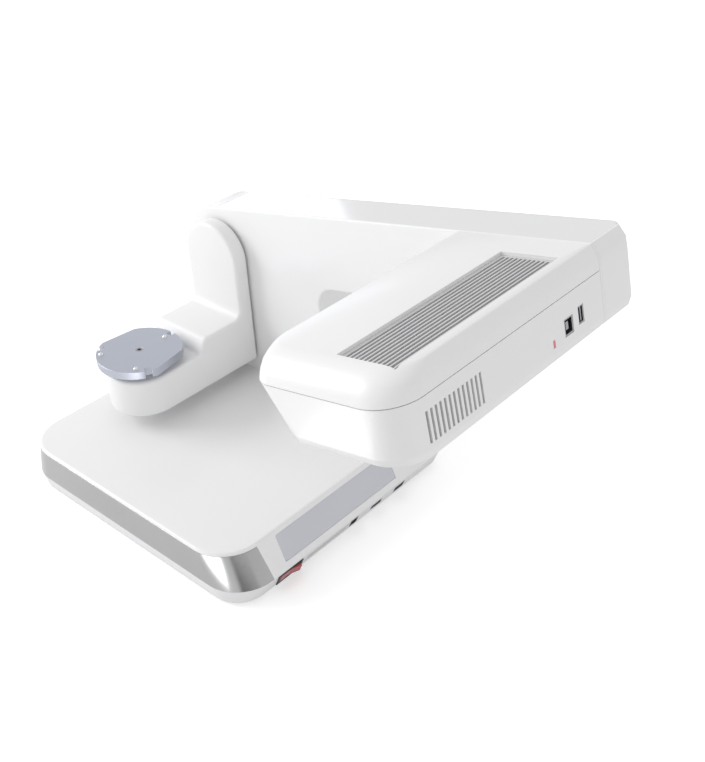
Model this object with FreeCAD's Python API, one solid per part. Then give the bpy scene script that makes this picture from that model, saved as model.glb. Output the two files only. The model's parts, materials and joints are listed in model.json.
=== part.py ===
import FreeCAD, Part
import math
import os
from FreeCAD import Vector as V

# Desktop dental scanner: a flat base, an upright leaning to the right that carries a
# box-shaped optical head, and a swinging arm with a turntable that the head looks at.
# Base frame: X to the right along the base's front edge, Y to the rear, Z up, floor at 0.
# Head and upright are drawn upright and then leaned by TILT about the base's Y axis:
# in their drawings X runs along the upright's top edge and Z is square to it.

# --- overall sizes (mm) ---
BASE_LEFT = -120.5        # left edge of the base's top
BASE_RIGHT = 126.0
BASE_D = 235.4            # depth of the base's top
FRONT_Y = -128.9          # front edge of the top
TOP_Z = 46.3              # height of the base's top above the floor
TILT = 11.0               # lean of upright and head, degrees
HEAD_W = 111.8
HEAD_L = 199.3
HEAD_H = 54.5
HEAD_RIGHT = 331.3        # head's right side in the leaned drawing
HEAD_TOP = 202.9          # head's top in the leaned drawing
COL_T = 40.5              # thickness of the upright
ARM_X = -68.0             # centre of the arm
PIVOT_Z = 156.8           # height of the swing axis
TABLE_Y = -36.5           # turntable axis
TABLE_Z = 107.3           # turntable's top face
TABLE_R = 35.6

# --- walls, gaps and clearances ---
WALL = 2.5
FOOT_H = 3.0
BAND_Z = 16.5             # lower edge of the trim band
BAND_T = 1.2
EDGE = 2.5                # rolled top edge of the base
# How far the base stands out from its top's outline, on the left, right and front: at the
# band's lower edge, and at the tray's floor.
FLARE = (7.0, 12.0, 0.4)
TRAY_OUT = (0.0, 6.0, -2.6)
BASE_R = 33.0             # front corners
BASE_REAR_R = 10.0
RUN = 0.05                # radial running clearance of shafts
FIT = 0.2                 # gap round pieces that are fastened down

REAR_Y = FRONT_Y + BASE_D
COL_Y = REAR_Y - COL_T
HEAD_LEFT = HEAD_RIGHT - HEAD_W
HEAD_FRONT = COL_Y - HEAD_L
HEAD_BOTTOM = HEAD_TOP - HEAD_H
WAIST_N = HEAD_BOTTOM + 5.6   # where the lower shell turns in to its bottom
BROW_N = HEAD_TOP - 7.4       # where the top cover turns in to its flat crown
COS_T = math.cos(math.radians(TILT))
SIN_T = math.sin(math.radians(TILT))

# The origin is the middle of the whole machine on the floor.
BENCH_N = HEAD_BOTTOM + 8.0   # underside of the head's bench plate
BENCH_T = 3.0
LEFT_X = BASE_LEFT - FLARE[0]
RIGHT_X = HEAD_RIGHT * COS_T - WAIST_N * SIN_T
SHIFT = V(-(LEFT_X + RIGHT_X) / 2, -(HEAD_FRONT + REAR_Y) / 2, 0)

NODES = {}


# --- small helpers ---
def box(x0, x1, y0, y1, z0, z1):
    return Part.makeBox(x1 - x0, y1 - y0, z1 - z0, V(x0, y0, z0))


def rod(radius, length, start, direction=V(0, 0, 1)):
    return Part.makeCylinder(radius, length, start, direction)


def ring(outer, inner, length, start, direction=V(0, 0, 1)):
    return rod(outer, length, start, direction).cut(rod(inner, length, start, direction))


def rounded_wire(x0, x1, y0, y1, z, radii):
    """Rounded rectangle; radii start at the front left corner and go anticlockwise."""
    corners = [(x0, y0, 180), (x1, y0, 270), (x1, y1, 0), (x0, y1, 90)]
    edges = []
    last = None
    first = None
    for (x, y, start), r in zip(corners, radii):
        cx = x + r if x == x0 else x - r
        cy = y + r if y == y0 else y - r
        ends = []
        for turn in (0, 45, 90):
            a = math.radians(start + turn)
            ends.append(V(cx + r * math.cos(a), cy + r * math.sin(a), z))
        if last is not None:
            edges.append(Part.LineSegment(last, ends[0]).toShape())
        else:
            first = ends[0]
        edges.append(Part.Arc(ends[0], ends[1], ends[2]).toShape())
        last = ends[2]
    edges.append(Part.LineSegment(last, first).toShape())
    return Part.Wire(edges)


def rounded_box(x0, x1, y0, y1, z0, z1, radii):
    return Part.Face(rounded_wire(x0, x1, y0, y1, z0, radii)).extrude(V(0, 0, z1 - z0))


def loft(lower, upper):
    return Part.makeLoft([lower, upper], True, True)


def upright(shape):
    """Leans a shape of the head or the upright and stands it on the floor's height."""
    shape = shape.copy()
    shape.rotate(V(0, 0, 0), V(0, 1, 0), -TILT)
    shape.translate(V(0, 0, FOOT_H))
    return shape


def leaned_of(x, z):
    """The leaned drawing's place of a point of the base frame."""
    z = z - FOOT_H
    return x * COS_T + z * SIN_T, -x * SIN_T + z * COS_T


def outline_xz(points, y):
    """A closed wire in a plane of constant Y; a point given as (x, z, x, z) ends an arc
    through its first pair."""
    edges = []
    here = V(points[0][0], y, points[0][1])
    start = here
    for point in points[1:]:
        if len(point) == 4:
            end = V(point[2], y, point[3])
            edges.append(Part.Arc(here, V(point[0], y, point[1]), end).toShape())
        else:
            end = V(point[0], y, point[1])
            edges.append(Part.LineSegment(here, end).toShape())
        here = end
    if (here - start).Length > 1e-6:
        edges.append(Part.LineSegment(here, start).toShape())
    return Part.Wire(edges)


def slab_y(points, y0, y1):
    return Part.Face(outline_xz(points, y0)).extrude(V(0, y1 - y0, 0))


def fuse_all(shapes):
    whole = shapes[0]
    for shape in shapes[1:]:
        whole = whole.fuse(shape)
    return whole.removeSplitter()


def cut_all(shape, tools):
    for tool in tools:
        shape = shape.cut(tool)
    return shape


def keep(node, shape):
    NODES[node] = shape


# --- base ---
def base_wire(out, inset, z, radius=BASE_R):
    """The base's outline at a height: what it stands out on three sides, and an inset."""
    radii = (radius - inset, radius - inset, BASE_REAR_R - inset, BASE_REAR_R - inset)
    return rounded_wire(BASE_LEFT - out[0] + inset, BASE_RIGHT + out[1] - inset,
                        FRONT_Y - out[2] + inset, REAR_Y - inset, z, radii)


LEVEL = (0.0, 0.0, 0.0)


def base_wall(inset, z0, z1):
    """The flared wall's solid between two heights, moved in by an inset."""
    def flare_at(z):
        share = (TOP_Z - EDGE - z) / (TOP_Z - EDGE - BAND_Z)
        return tuple(side * share for side in FLARE)
    return loft(base_wire(flare_at(z0), inset, z0), base_wire(flare_at(z1), inset, z1))


SIDE_CUT_Y = -93.0        # where the band stops on the right side
GLASS_Y0 = -80.0
GLASS_Y1 = 46.0
GLASS_Z0 = 21.4
GLASS_Z1 = 42.4
GLASS_T = 2.0
BALLAST_T = 8.0
BALLAST_IN = 12.0         # the ballast plate's edge against the flat top's outline
BALLAST_Z = FOOT_H + WALL
FRAME_T = 3.0
FRAME_Y = COL_Y + 17.0    # front face of the upright's steel plate


def trim_band():
    outer = base_wall(0.0, BAND_Z, TOP_Z - EDGE)
    inner = base_wall(BAND_T, BAND_Z, TOP_Z - EDGE)
    band = outer.cut(inner)
    right_rest = box(BASE_RIGHT - BASE_R, 2 * BASE_RIGHT, SIDE_CUT_Y, REAR_Y + 1, 0, TOP_Z)
    rear_rest = box(2 * BASE_LEFT, 2 * BASE_RIGHT, REAR_Y - BASE_REAR_R, REAR_Y + 1, 0, TOP_Z)
    return cut_all(band, [right_rest, rear_rest])


def side_glass():
    """The grey glass strip that lies in the sloping right wall."""
    skin = base_wall(0.0, BAND_Z, TOP_Z - EDGE).cut(base_wall(GLASS_T, BAND_Z, TOP_Z - EDGE))
    chamfer = 9.0
    points = [V(0, GLASS_Y0, GLASS_Z0), V(0, GLASS_Y1, GLASS_Z0), V(0, GLASS_Y1, GLASS_Z1 - chamfer),
              V(0, GLASS_Y1 - chamfer, GLASS_Z1), V(0, GLASS_Y0, GLASS_Z1)]
    window = Part.Face(Part.makePolygon(points + [points[0]])).extrude(V(2 * BASE_RIGHT, 0, 0))
    return skin.common(window)


def base_cover(band, glass):
    wall = base_wall(0.0, BAND_Z, TOP_Z - EDGE)
    rim = loft(base_wire(LEVEL, 0.0, TOP_Z - EDGE), base_wire(LEVEL, EDGE, TOP_Z))
    inside = base_wall(GLASS_T + WALL, BAND_Z, TOP_Z - EDGE)
    under_top = Part.Face(base_wire(LEVEL, GLASS_T + WALL, BAND_Z)).extrude(V(0, 0, TOP_Z - WALL - BAND_Z))
    cover = fuse_all([wall, rim]).cut(inside).cut(rim_room())
    cover = cover.cut(under_top)
    c0 = frame_foot_x()[0] - 1.0
    c1 = frame_foot_x()[1] + 1.0
    slot = box(c0, c1, FRAME_Y - 1.0, FRAME_Y + FRAME_T + 1.0, TOP_Z - 2 * WALL, TOP_Z + 1)
    return cut_all(cover, [band, glass, slot])


def rim_room():
    return Part.Face(base_wire(LEVEL, GLASS_T + WALL, TOP_Z - 2 * EDGE)).extrude(V(0, 0, 2 * EDGE - WALL))


def frame_foot_x():
    return -70.0, 45.0


SWITCH_Y = -77.0
JACK_Y = -5.0
USB_Y = 21.8
SYNC_Y = 50.3
PORT_Z = 9.6
VENT_Y0 = -57.4
VENT_Y1 = -14.2
VENT_COUNT = 15
VENT_W = 1.4
SWITCH_L = 21.0
SWITCH_H = 9.0
BEZEL_EDGE = 1.6
ROCKER_GAP = 0.5
ROCKER_TILT = 7.0         # how far the rocker leans at rest
ROCKER_DEPTH = 2.0        # its pivot behind the tray's wall


def wall_x(z):
    """The tray's right wall at a height."""
    return BASE_RIGHT + TRAY_OUT[1] + (FLARE[1] - TRAY_OUT[1]) * (z - FOOT_H) / (BAND_Z - FOOT_H)


def port_frame(shape, y):
    """Sets a port drawn with its face square to +X at the origin into the sloping wall."""
    slope = math.degrees(math.atan2(FLARE[1] - TRAY_OUT[1], BAND_Z - FOOT_H))
    shape = shape.copy()
    shape.rotate(V(0, 0, 0), V(0, 1, 0), slope)
    shape.translate(V(wall_x(PORT_Z), y, PORT_Z))
    return shape


def port_block(half_y, half_z, depth, stand=0.0):
    return box(-depth, stand, -half_y, half_y, -half_z, half_z)


TRAY_R = 26.0             # front corners of the tray's floor
FEET = [(-95.0, -95.0), (95.0, -95.0), (-95.0, 80.0), (95.0, 80.0)]
FOOT_R = 9.0
SCREWS = [(-112.0, -70.0), (-112.0, 60.0), (30.0, -112.0), (-40.0, -112.0), (-30.0, 92.0), (40.0, 92.0)]
SCREW_R = 1.5
SCREW_HEAD_R = 2.8
BOSS_R = 4.0


def lower_tray():
    outer = loft(base_wire(TRAY_OUT, 0.0, FOOT_H, TRAY_R), base_wire(FLARE, 0.0, BAND_Z))
    inner = loft(base_wire(TRAY_OUT, WALL, FOOT_H + WALL, TRAY_R), base_wire(FLARE, WALL, BAND_Z))
    tray = outer.cut(inner)
    for x, y in FEET:
        tray = tray.cut(rod(FOOT_R + FIT, 1.2, V(x, y, FOOT_H)))
    for x, y in SCREWS:
        post = ring(BOSS_R, SCREW_R + FIT, BAND_Z - FOOT_H - 1.0, V(x, y, FOOT_H + 0.5))
        hole = rod(SCREW_R + FIT, 20, V(x, y, 0))
        head = rod(SCREW_HEAD_R + FIT, 2.0, V(x, y, FOOT_H))
        tray = tray.fuse(post.common(outer)).cut(hole).cut(head)
    step = (VENT_Y1 - VENT_Y0) / (VENT_COUNT - 1)
    for i in range(VENT_COUNT):
        slot = port_block(VENT_W / 2, 3.6, WALL * 2, WALL)
        slot.rotate(V(0, 0, 0), V(1, 0, 0), -25)
        tray = tray.cut(port_frame(slot, VENT_Y0 + i * step))
    for half_y, half_z, y in port_holes():
        tray = tray.cut(port_frame(port_block(half_y, half_z, WALL * 3, WALL), y))
    return tray


def port_holes():
    return [(SWITCH_L / 2 + BEZEL_EDGE, SWITCH_H / 2 + BEZEL_EDGE - 0.6, SWITCH_Y),
            (4.5, 4.5, JACK_Y), (6.6, 3.4, USB_Y), (6.6, 4.2, SYNC_Y)]


def ballast():
    plate = rounded_box(BASE_LEFT + BALLAST_IN + 5, BASE_RIGHT - BALLAST_IN - 15, FRONT_Y + BALLAST_IN,
                        REAR_Y - BALLAST_IN, BALLAST_Z, BALLAST_Z + BALLAST_T, (20, 20, 6, 6))
    for x, y in SCREWS:
        plate = plate.cut(rod(BOSS_R + 1.0, 30, V(x, y, 0)))
    return plate


def rubber_feet():
    pads = []
    for x, y in FEET:
        pad = Part.makeCone(FOOT_R - 1.2, FOOT_R, 1.2, V(x, y, 0))
        pads.append(pad.fuse(rod(FOOT_R, FOOT_H, V(x, y, 1.2))).removeSplitter())
    return Part.makeCompound(pads)


def base_screws():
    screws = []
    for x, y in SCREWS:
        head = rod(SCREW_HEAD_R, 1.6, V(x, y, FOOT_H + 0.3))
        socket = rod(1.2, 1.0, V(x, y, FOOT_H + 0.3))
        shank = rod(SCREW_R, 10.0, V(x, y, FOOT_H + 1.9))
        screws.append(head.cut(socket).fuse(shank).removeSplitter())
    return Part.makeCompound(screws)


def control_board():
    z = BALLAST_Z + BALLAST_T + 4.0
    board = box(30, 104, -60, 40, z, z + 1.6)
    chips = [box(45, 59, -40, -26, z + 1.6, z + 3.2), box(70, 80, -10, 0, z + 1.6, z + 4.6),
             box(50, 62, 10, 22, z + 1.6, z + 9.0), box(84, 92, -50, -30, z + 1.6, z + 12.0)]
    posts = []
    for x in (35, 99):
        for y in (-55, 35):
            posts.append(rod(2.5, 4.0, V(x, y, z - 4.0)))
    return fuse_all([board] + chips + posts)


def dust_mesh():
    """A fine filter plate behind the tray's vent slots."""
    plate = box(-WALL - 2.0, -WALL - 1.2, VENT_Y0 - 3, VENT_Y1 + 3, -4.2, 4.2)
    return port_frame(plate, 0.0)


def switch_bezel():
    outer = port_block(SWITCH_L / 2 + BEZEL_EDGE - FIT, SWITCH_H / 2 + BEZEL_EDGE - 0.6 - FIT, 9.0)
    flange = port_block(SWITCH_L / 2 + BEZEL_EDGE + 0.8, SWITCH_H / 2 + BEZEL_EDGE - 0.2, 0.0, 0.8)
    well = port_block(SWITCH_L / 2, SWITCH_H / 2, 7.5, 2.0)
    return port_frame(fuse_all([outer, flange]).cut(well), SWITCH_Y)


def rocker():
    """A rocker with a shallow V face; it pivots across its middle."""
    half = SWITCH_L / 2 - ROCKER_GAP
    high = SWITCH_H / 2 - 0.4
    points = [V(-4.4, 0, 0), V(-1.2, half - 0.4, 0), V(2.0, half, 0), V(0.5, 0, 0), V(2.0, -half, 0),
              V(-1.2, -half + 0.4, 0)]
    face = Part.Face(Part.makePolygon(points + [points[0]]))
    body = face.extrude(V(0, 0, 2 * high))
    body.translate(V(0, 0, -high))
    body.rotate(V(-ROCKER_DEPTH, 0, 0), V(0, 0, 1), -ROCKER_TILT)
    return port_frame(body, SWITCH_Y)


def socket_block(half_y, half_z, depth, hole_y, hole_z):
    block = port_block(half_y - FIT, half_z - FIT, depth)
    hole = port_block(hole_y, hole_z, depth - 1.0, 1.0)
    tongue = port_block(hole_y * 0.8, 0.6, depth - 1.0 + 0.01, -0.6)
    return block.cut(hole).fuse(tongue)


def power_jack():
    block = port_block(4.5 - FIT, 4.5 - FIT, 9.0)
    hole = rod(2.9, 9.0, V(-8.0, 0, 0), V(1, 0, 0))
    pin = rod(0.9, 7.0, V(-8.5, 0, 0), V(1, 0, 0))
    return port_frame(block.cut(hole).fuse(pin), JACK_Y)


def base_usb_port():
    return port_frame(socket_block(6.6, 3.4, 12.0, 5.9, 2.4), USB_Y)


def base_sync_port():
    return port_frame(socket_block(6.6, 4.2, 12.0, 5.5, 3.2), SYNC_Y)


# --- outline shared by the head's right side and the upright's end ---
SEAM = 186.0
CROWN_RIGHT = 5.0
BROW_RIGHT = 0.5
FOOT_RIGHT = 2.2

# --- upright ---
COL_LEFT = -76.5
COL_CORNER = 34.0
COL_FOOT_RIGHT = 67.0     # right edge of the upright's post
COL_ARCH = 20.0           # corner between the post and the beam
BEAM_LOW = 141.5          # underside of the beam beside the post
BEAM_STEP = (200.0, 240.0)  # where the underside rises to the head's bottom
COVER_SCREWS = [(-40.0, 60.0), (-40.0, 185.0), (40.0, 50.0), (60.0, 188.0), (200.0, 188.0), (285.0, 190.0)]
COVER_HEAD_T = 1.2
REAR_VENTS = 16
REAR_VENT_C = 70.0
REAR_VENT_STEP = 7.0
CAP_X = 300.0             # where the end cap starts
CAP_R = 8.5
STRIP_T = 1.5
STRIP_LEFT = -34.0
STRIP_FRONT = 1.8         # white edge in front of the strip
STRIP_RIM = 1.3           # white edge at the strip's right end
STRIP_REAR = 0.6
SHAFT_HOLE_R = 17.0


def column_points(inset):
    """The upright's outline in the leaned drawing, moved in by an inset."""
    left = COL_LEFT + inset
    top = HEAD_TOP - inset
    right = HEAD_RIGHT - inset
    foot = COL_FOOT_RIGHT - inset
    under = HEAD_BOTTOM + inset
    corner = COL_CORNER - inset
    beam = BEAM_LOW + inset
    arch = COL_ARCH + inset
    low = -60.0
    k = math.sqrt(0.5)
    cx = left + corner
    cz = top - corner
    ax = foot + arch
    az = beam - arch
    return [(left, low), (left, cz), (cx - corner * k, cz + corner * k, cx, top),
            (right - CROWN_RIGHT, top), (right - BROW_RIGHT, BROW_N), (right, SEAM), (right, max(WAIST_N, under)),
            (right - FOOT_RIGHT, under), (BEAM_STEP[1], under), (BEAM_STEP[0], beam), (ax, beam),
            (ax - arch * k, az + arch * k, foot, az), (foot, low)]


def above_base(shape, z):
    """Trims a leaned solid flat at a height."""
    return shape.cut(box(-400, 500, -400, 400, -300, z))


def column_body(inset, y0, y1):
    return slab_y(column_points(inset), y0, y1)


def rear_corner_cut(radius, inset):
    """What rounds the upright's rear right edge."""
    right = HEAD_RIGHT - inset
    rear = REAR_Y - inset
    block = box(right - radius, right + 10, rear - radius, rear + 10, HEAD_BOTTOM - 10, HEAD_TOP + 10)
    return block.cut(rod(radius, HEAD_H + 30, V(right - radius, rear - radius, HEAD_BOTTOM - 15)))


def front_cover():
    plate = column_body(0.0, COL_Y, COL_Y + WALL)
    cap = box(CAP_X, HEAD_RIGHT + 1, COL_Y - 1, COL_Y + WALL + 1, HEAD_BOTTOM - 1, HEAD_TOP + 1)
    c, n = leaned_of(ARM_X, PIVOT_Z)
    hole = rod(SHAFT_HOLE_R, WALL + 4, V(c, COL_Y - 2, n), V(0, 1, 0))
    plate = cut_all(plate, [strip_zone(), cap, hole, head_passage()])
    return above_base(upright(plate), TOP_Z)


def head_passage():
    """The opening in the front cover through which the frame's arm and the cables pass."""
    return box(HEAD_LEFT + 22, CAP_X - 20, COL_Y - 1, COL_Y + WALL + 1, BENCH_N + BENCH_T - 1, HEAD_TOP - 14)


def rear_shell(whole_cut):
    outer = column_body(0.0, COL_Y + WALL, REAR_Y).cut(rear_corner_cut(CAP_R, 0.0))
    inner = column_body(WALL, COL_Y + WALL - 1, REAR_Y - WALL)
    inner = inner.cut(rear_corner_cut(CAP_R - WALL, WALL))
    return outer.cut(inner).cut(whole_cut)


def strip_zone():
    """The shallow recess in the upright's top that takes the bright strip."""
    return rounded_box(STRIP_LEFT, HEAD_RIGHT - CROWN_RIGHT - STRIP_RIM, COL_Y + STRIP_FRONT,
                       REAR_Y - STRIP_REAR, HEAD_TOP - STRIP_T, HEAD_TOP, (1.0, 1.0, CAP_R - 0.5, 1.0))


def rear_cover():
    cap_zone = box(CAP_X, HEAD_RIGHT + 5, COL_Y - 1, REAR_Y + 5, HEAD_BOTTOM - 5, HEAD_TOP + 5)
    shell = rear_shell(cap_zone).cut(strip_zone())
    vents = []
    for i in range(REAR_VENTS):
        c = REAR_VENT_C + i * REAR_VENT_STEP
        vents.append(box(c - 1.5, c + 1.5, REAR_Y - WALL - 1, REAR_Y + 1, BEAM_LOW + 10, HEAD_TOP - 18))
    for c, n in COVER_SCREWS:
        vents.append(rod(SCREW_HEAD_R + FIT, COVER_HEAD_T + 1, V(c, REAR_Y - COVER_HEAD_T, n), V(0, 1, 0)))
    return above_base(upright(cut_all(shell, vents)), TOP_Z)


def top_strip():
    return upright(strip_zone())


def end_cap():
    outer = column_body(0.0, COL_Y, REAR_Y).cut(rear_corner_cut(CAP_R, 0.0))
    inner = column_body(WALL, COL_Y - 1, REAR_Y - WALL).cut(rear_corner_cut(CAP_R - WALL, WALL))
    zone = box(CAP_X, HEAD_RIGHT + 5, COL_Y - 5, REAR_Y + 5, HEAD_BOTTOM - 5, HEAD_TOP + 5)
    closing = column_body(0.0, COL_Y, COL_Y + WALL)
    window = box(CAP_X + 3, HEAD_RIGHT - 14, COL_Y - 1, COL_Y + WALL, HEAD_BOTTOM + 12, HEAD_TOP - 12)
    shell = outer.cut(inner).fuse(closing).common(zone).removeSplitter()
    return upright(shell.cut(window).cut(strip_zone()))


MOTOR_SIDE = 28.0
MOTOR_T = 13.0
GEAR_MODULE = 1.5
GEAR_TEETH = 36
PINION_TEETH = 12
GEAR_W = 6.0
GEAR_Y = COL_Y + 5.0
SHAFT_R = 8.0
HUB_R = 15.0
PINION_ANGLE = -40.0      # from the swing axis to the pinion, in the base frame
CENTRES = GEAR_MODULE * (GEAR_TEETH + PINION_TEETH) / 2
FRAME_IN = 6.0
HEAD_ARM_L = 28.0         # how far the frame's arm reaches into the head


def pinion_place():
    a = math.radians(PINION_ANGLE)
    return ARM_X + CENTRES * math.cos(a), PIVOT_Z + CENTRES * math.sin(a)


def column_frame():
    """The steel plate inside the upright, standing on a flange on the ballast plate."""
    plate = column_body(FRAME_IN, FRAME_Y, FRAME_Y + FRAME_T)
    windows = [box(15, COL_FOOT_RIGHT - 16, FRAME_Y - 1, FRAME_Y + FRAME_T + 1, 60, 115),
               box(40, 110, FRAME_Y - 1, FRAME_Y + FRAME_T + 1, BEAM_LOW + 18, HEAD_TOP - 18),
               box(140, 210, FRAME_Y - 1, FRAME_Y + FRAME_T + 1, BEAM_LOW + 18, HEAD_TOP - 18)]
    plate = above_base(upright(cut_all(plate, windows)), TOP_Z + 1.0)
    x0, x1 = frame_foot_x()
    floor = BALLAST_Z + BALLAST_T
    leg = box(x0, x1, FRAME_Y, FRAME_Y + FRAME_T, floor, TOP_Z + 1.0)
    flange = box(x0, x1, FRAME_Y - 22, FRAME_Y, floor, floor + FRAME_T)
    hub = rod(HUB_R + FIT, 30, V(ARM_X, FRAME_Y - 5, PIVOT_Z), V(0, 1, 0))
    px, pz = pinion_place()
    nose = rod(7.0, 30, V(px, FRAME_Y - 5, pz), V(0, 1, 0))
    shelf = BENCH_N + BENCH_T
    arm = upright(box(HEAD_LEFT + 30, CAP_X - 24, COL_Y - HEAD_ARM_L, FRAME_Y, shelf, shelf + FRAME_T))
    return fuse_all([plate, leg, flange, arm]).cut(hub).cut(nose)


def swing_bearing():
    y0 = FRAME_Y - 4.0
    sleeve = ring(HUB_R, SHAFT_R + RUN, 19.0, V(ARM_X, y0, PIVOT_Z), V(0, 1, 0))
    collar = ring(HUB_R + 1, SHAFT_R + RUN, 3.0, V(ARM_X, FRAME_Y + FRAME_T, PIVOT_Z), V(0, 1, 0))
    return sleeve.fuse(collar).removeSplitter()


def swing_motor():
    px, pz = pinion_place()
    y0 = FRAME_Y + FRAME_T
    body = box(px - MOTOR_SIDE / 2, px + MOTOR_SIDE / 2, y0, y0 + MOTOR_T, pz - MOTOR_SIDE / 2,
               pz + MOTOR_SIDE / 2)
    corner = [body.Edges[i] for i in range(len(body.Edges)) if abs(body.Edges[i].tangentAt(0).y) > 0.9]
    body = body.makeFillet(4.0, corner)
    nose = rod(6.0, FRAME_T + 1.5, V(px, y0 - FRAME_T - 1.5, pz), V(0, 1, 0))
    bore = rod(2.5 + RUN, MOTOR_T, V(px, y0 - FRAME_T - 2.0, pz), V(0, 1, 0))
    return body.fuse(nose).cut(bore).removeSplitter()


def gear(teeth, x, z, y0, width, turn):
    """A spur gear with straight-sided teeth about a Y axis; turn points one tooth."""
    pitch = GEAR_MODULE * teeth / 2
    root = pitch - 1.2 * GEAR_MODULE
    tip = pitch + 0.8 * GEAR_MODULE
    half_root = 0.36 * math.pi / teeth * 1.45
    half_tip = 0.36 * math.pi / teeth * 0.45
    points = []
    for i in range(teeth):
        middle = math.radians(turn) + 2 * math.pi * i / teeth
        for radius, angle in ((root, -half_root * 1.25), (tip, -half_tip), (tip, half_tip),
                              (root, half_root * 1.25)):
            a = middle + angle
            points.append((x + radius * math.cos(a), z + radius * math.sin(a)))
    return slab_y(points, y0, y0 + width)


def swing_gear():
    wheel = gear(GEAR_TEETH, ARM_X, PIVOT_Z, GEAR_Y, GEAR_W, PINION_ANGLE)
    return wheel.cut(rod(SHAFT_R, 40, V(ARM_X, GEAR_Y - 5, PIVOT_Z), V(0, 1, 0)))


def swing_pinion():
    px, pz = pinion_place()
    wheel = gear(PINION_TEETH, px, pz, GEAR_Y, GEAR_W, PINION_ANGLE + 180 + 180 / PINION_TEETH)
    shaft = rod(2.5, MOTOR_T + GEAR_W + 4.0, V(px, GEAR_Y, pz), V(0, 1, 0))
    return wheel.fuse(shaft).removeSplitter()


def column_screws():
    screws = []
    for c, n in COVER_SCREWS:
        head = rod(SCREW_HEAD_R, COVER_HEAD_T, V(c, REAR_Y - COVER_HEAD_T, n), V(0, 1, 0))
        screws.append(upright(head.cut(rod(1.2, 0.7, V(c, REAR_Y - 0.7, n), V(0, 1, 0)))))
    return Part.makeCompound(screws)


# --- head ---
HEAD_R_LEFT = 18.0
HEAD_R_RIGHT = 25.0
FOOT_R_IN = 2.0           # how much smaller the corners are along the bottom
HEAD_WALL = 2.2
# How far the head draws in (left side, near end) from its seam: at the waist above the bottom's
# edge, at the bottom, at the brow below the crown, and at the crown.
WAIST_IN = (15.2, 2.0)
FOOT_IN = (16.5, 5.0)
BROW_IN = (1.0, 6.0)
CROWN_IN = (4.5, 18.3)
GRILLE = (277.0, 319.5, HEAD_FRONT + 20.3, COL_Y - 25.0)
GRILLE_SLOTS = 12
GRILLE_SLOT_SHARE = 0.62  # slot's part of the pitch
GRILLE_DROP = 2.2         # ribs below the crown
GRILLE_DEEP = 1.4
MESH_T = 0.8


def head_wire(draw_in, right_in, inset, n, smaller=0.0):
    return rounded_wire(HEAD_LEFT + draw_in[0] + inset, HEAD_RIGHT - right_in - inset,
                        HEAD_FRONT + draw_in[1] + inset, COL_Y, n,
                        (HEAD_R_LEFT - inset - smaller, HEAD_R_RIGHT - inset - smaller, 0.5, 0.5))


def lower_form(inset):
    top = head_wire((0.0, 0.0), 0.0, inset, SEAM)
    waist = head_wire(WAIST_IN, 0.0, inset, WAIST_N)
    foot = head_wire(FOOT_IN, FOOT_RIGHT, inset, HEAD_BOTTOM + inset, FOOT_R_IN)
    return fuse_all([loft(waist, top), loft(foot, waist)])


def left_wall(n):
    """The outside of the head's slanting left wall at a height."""
    return HEAD_LEFT + WAIST_IN[0] * (SEAM - n) / (SEAM - WAIST_N)


WINDOW_Y = (HEAD_FRONT + 34.3, COL_Y - 40.0)
WINDOW_N = (163.0, 182.0)
WINDOW_T = 2.0
SLOT_Y0 = HEAD_FRONT + 25.0
SLOT_Y1 = HEAD_FRONT + 72.0
SLOT_COUNT = 13
SLOT_N = (157.5, 177.0)
SLOT_W = 1.9
USB_B_Y = (COL_Y - 43.4, COL_Y - 34.0)
USB_B_N = (159.8, 171.2)
USB_A_Y = (COL_Y - 27.8, COL_Y - 21.9)
USB_A_N = (161.5, 173.0)
LED_Y = COL_Y - 55.5
LED_N = 160.8
LED_HALF = (1.0, 2.4)


def side_port_hole(ys, ns):
    return box(HEAD_RIGHT - 14, HEAD_RIGHT + 2, ys[0] - FIT, ys[1] + FIT, ns[0] - FIT, ns[1] + FIT)


def lower_shell():
    shell = lower_form(0.0)
    inner = lower_form(HEAD_WALL)
    shell = shell.cut(inner)
    tools = []
    step = (SLOT_Y1 - SLOT_Y0) / (SLOT_COUNT - 1)
    for i in range(SLOT_COUNT):
        y = SLOT_Y0 + i * step
        tools.append(box(HEAD_RIGHT - 8, HEAD_RIGHT + 2, y - SLOT_W / 2, y + SLOT_W / 2, SLOT_N[0], SLOT_N[1]))
    tools.append(side_port_hole(USB_B_Y, USB_B_N))
    tools.append(side_port_hole(USB_A_Y, USB_A_N))
    tools.append(side_port_hole((LED_Y - LED_HALF[0], LED_Y + LED_HALF[0]),
                                (LED_N - LED_HALF[1], LED_N + LED_HALF[1])))
    tools.append(beside_left_wall(-2.0, 2 * HEAD_WALL, WINDOW_Y, WINDOW_N))
    return upright(cut_all(shell, tools))


def beside_left_wall(c0, c1, ys, ns):
    """A slab that follows the slanting left wall, between two distances from its outside."""
    points = [(left_wall(ns[0]) + c0, ns[0]), (left_wall(ns[0]) + c1, ns[0]),
              (left_wall(ns[1]) + c1, ns[1]), (left_wall(ns[1]) + c0, ns[1])]
    return slab_y(points, ys[0], ys[1])


def scan_window():
    near = HEAD_WALL + 0.3
    ys = (WINDOW_Y[0] - 3, WINDOW_Y[1] + 3)
    return upright(beside_left_wall(near, near + WINDOW_T, ys, (WINDOW_N[0] - 3, WINDOW_N[1] + 2)))


def top_form(inset):
    seam = head_wire((0.0, 0.0), 0.0, inset, SEAM)
    brow = head_wire(BROW_IN, BROW_RIGHT, inset, BROW_N)
    crown = head_wire(CROWN_IN, CROWN_RIGHT, inset, HEAD_TOP - inset, FOOT_R_IN)
    return fuse_all([loft(seam, brow), loft(brow, crown)])


def grille_zone(grow, n0, n1):
    x0, x1, y0, y1 = GRILLE
    return box(x0 - grow, x1 + grow, y0 - grow, y1 + grow, n0, n1)


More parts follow.
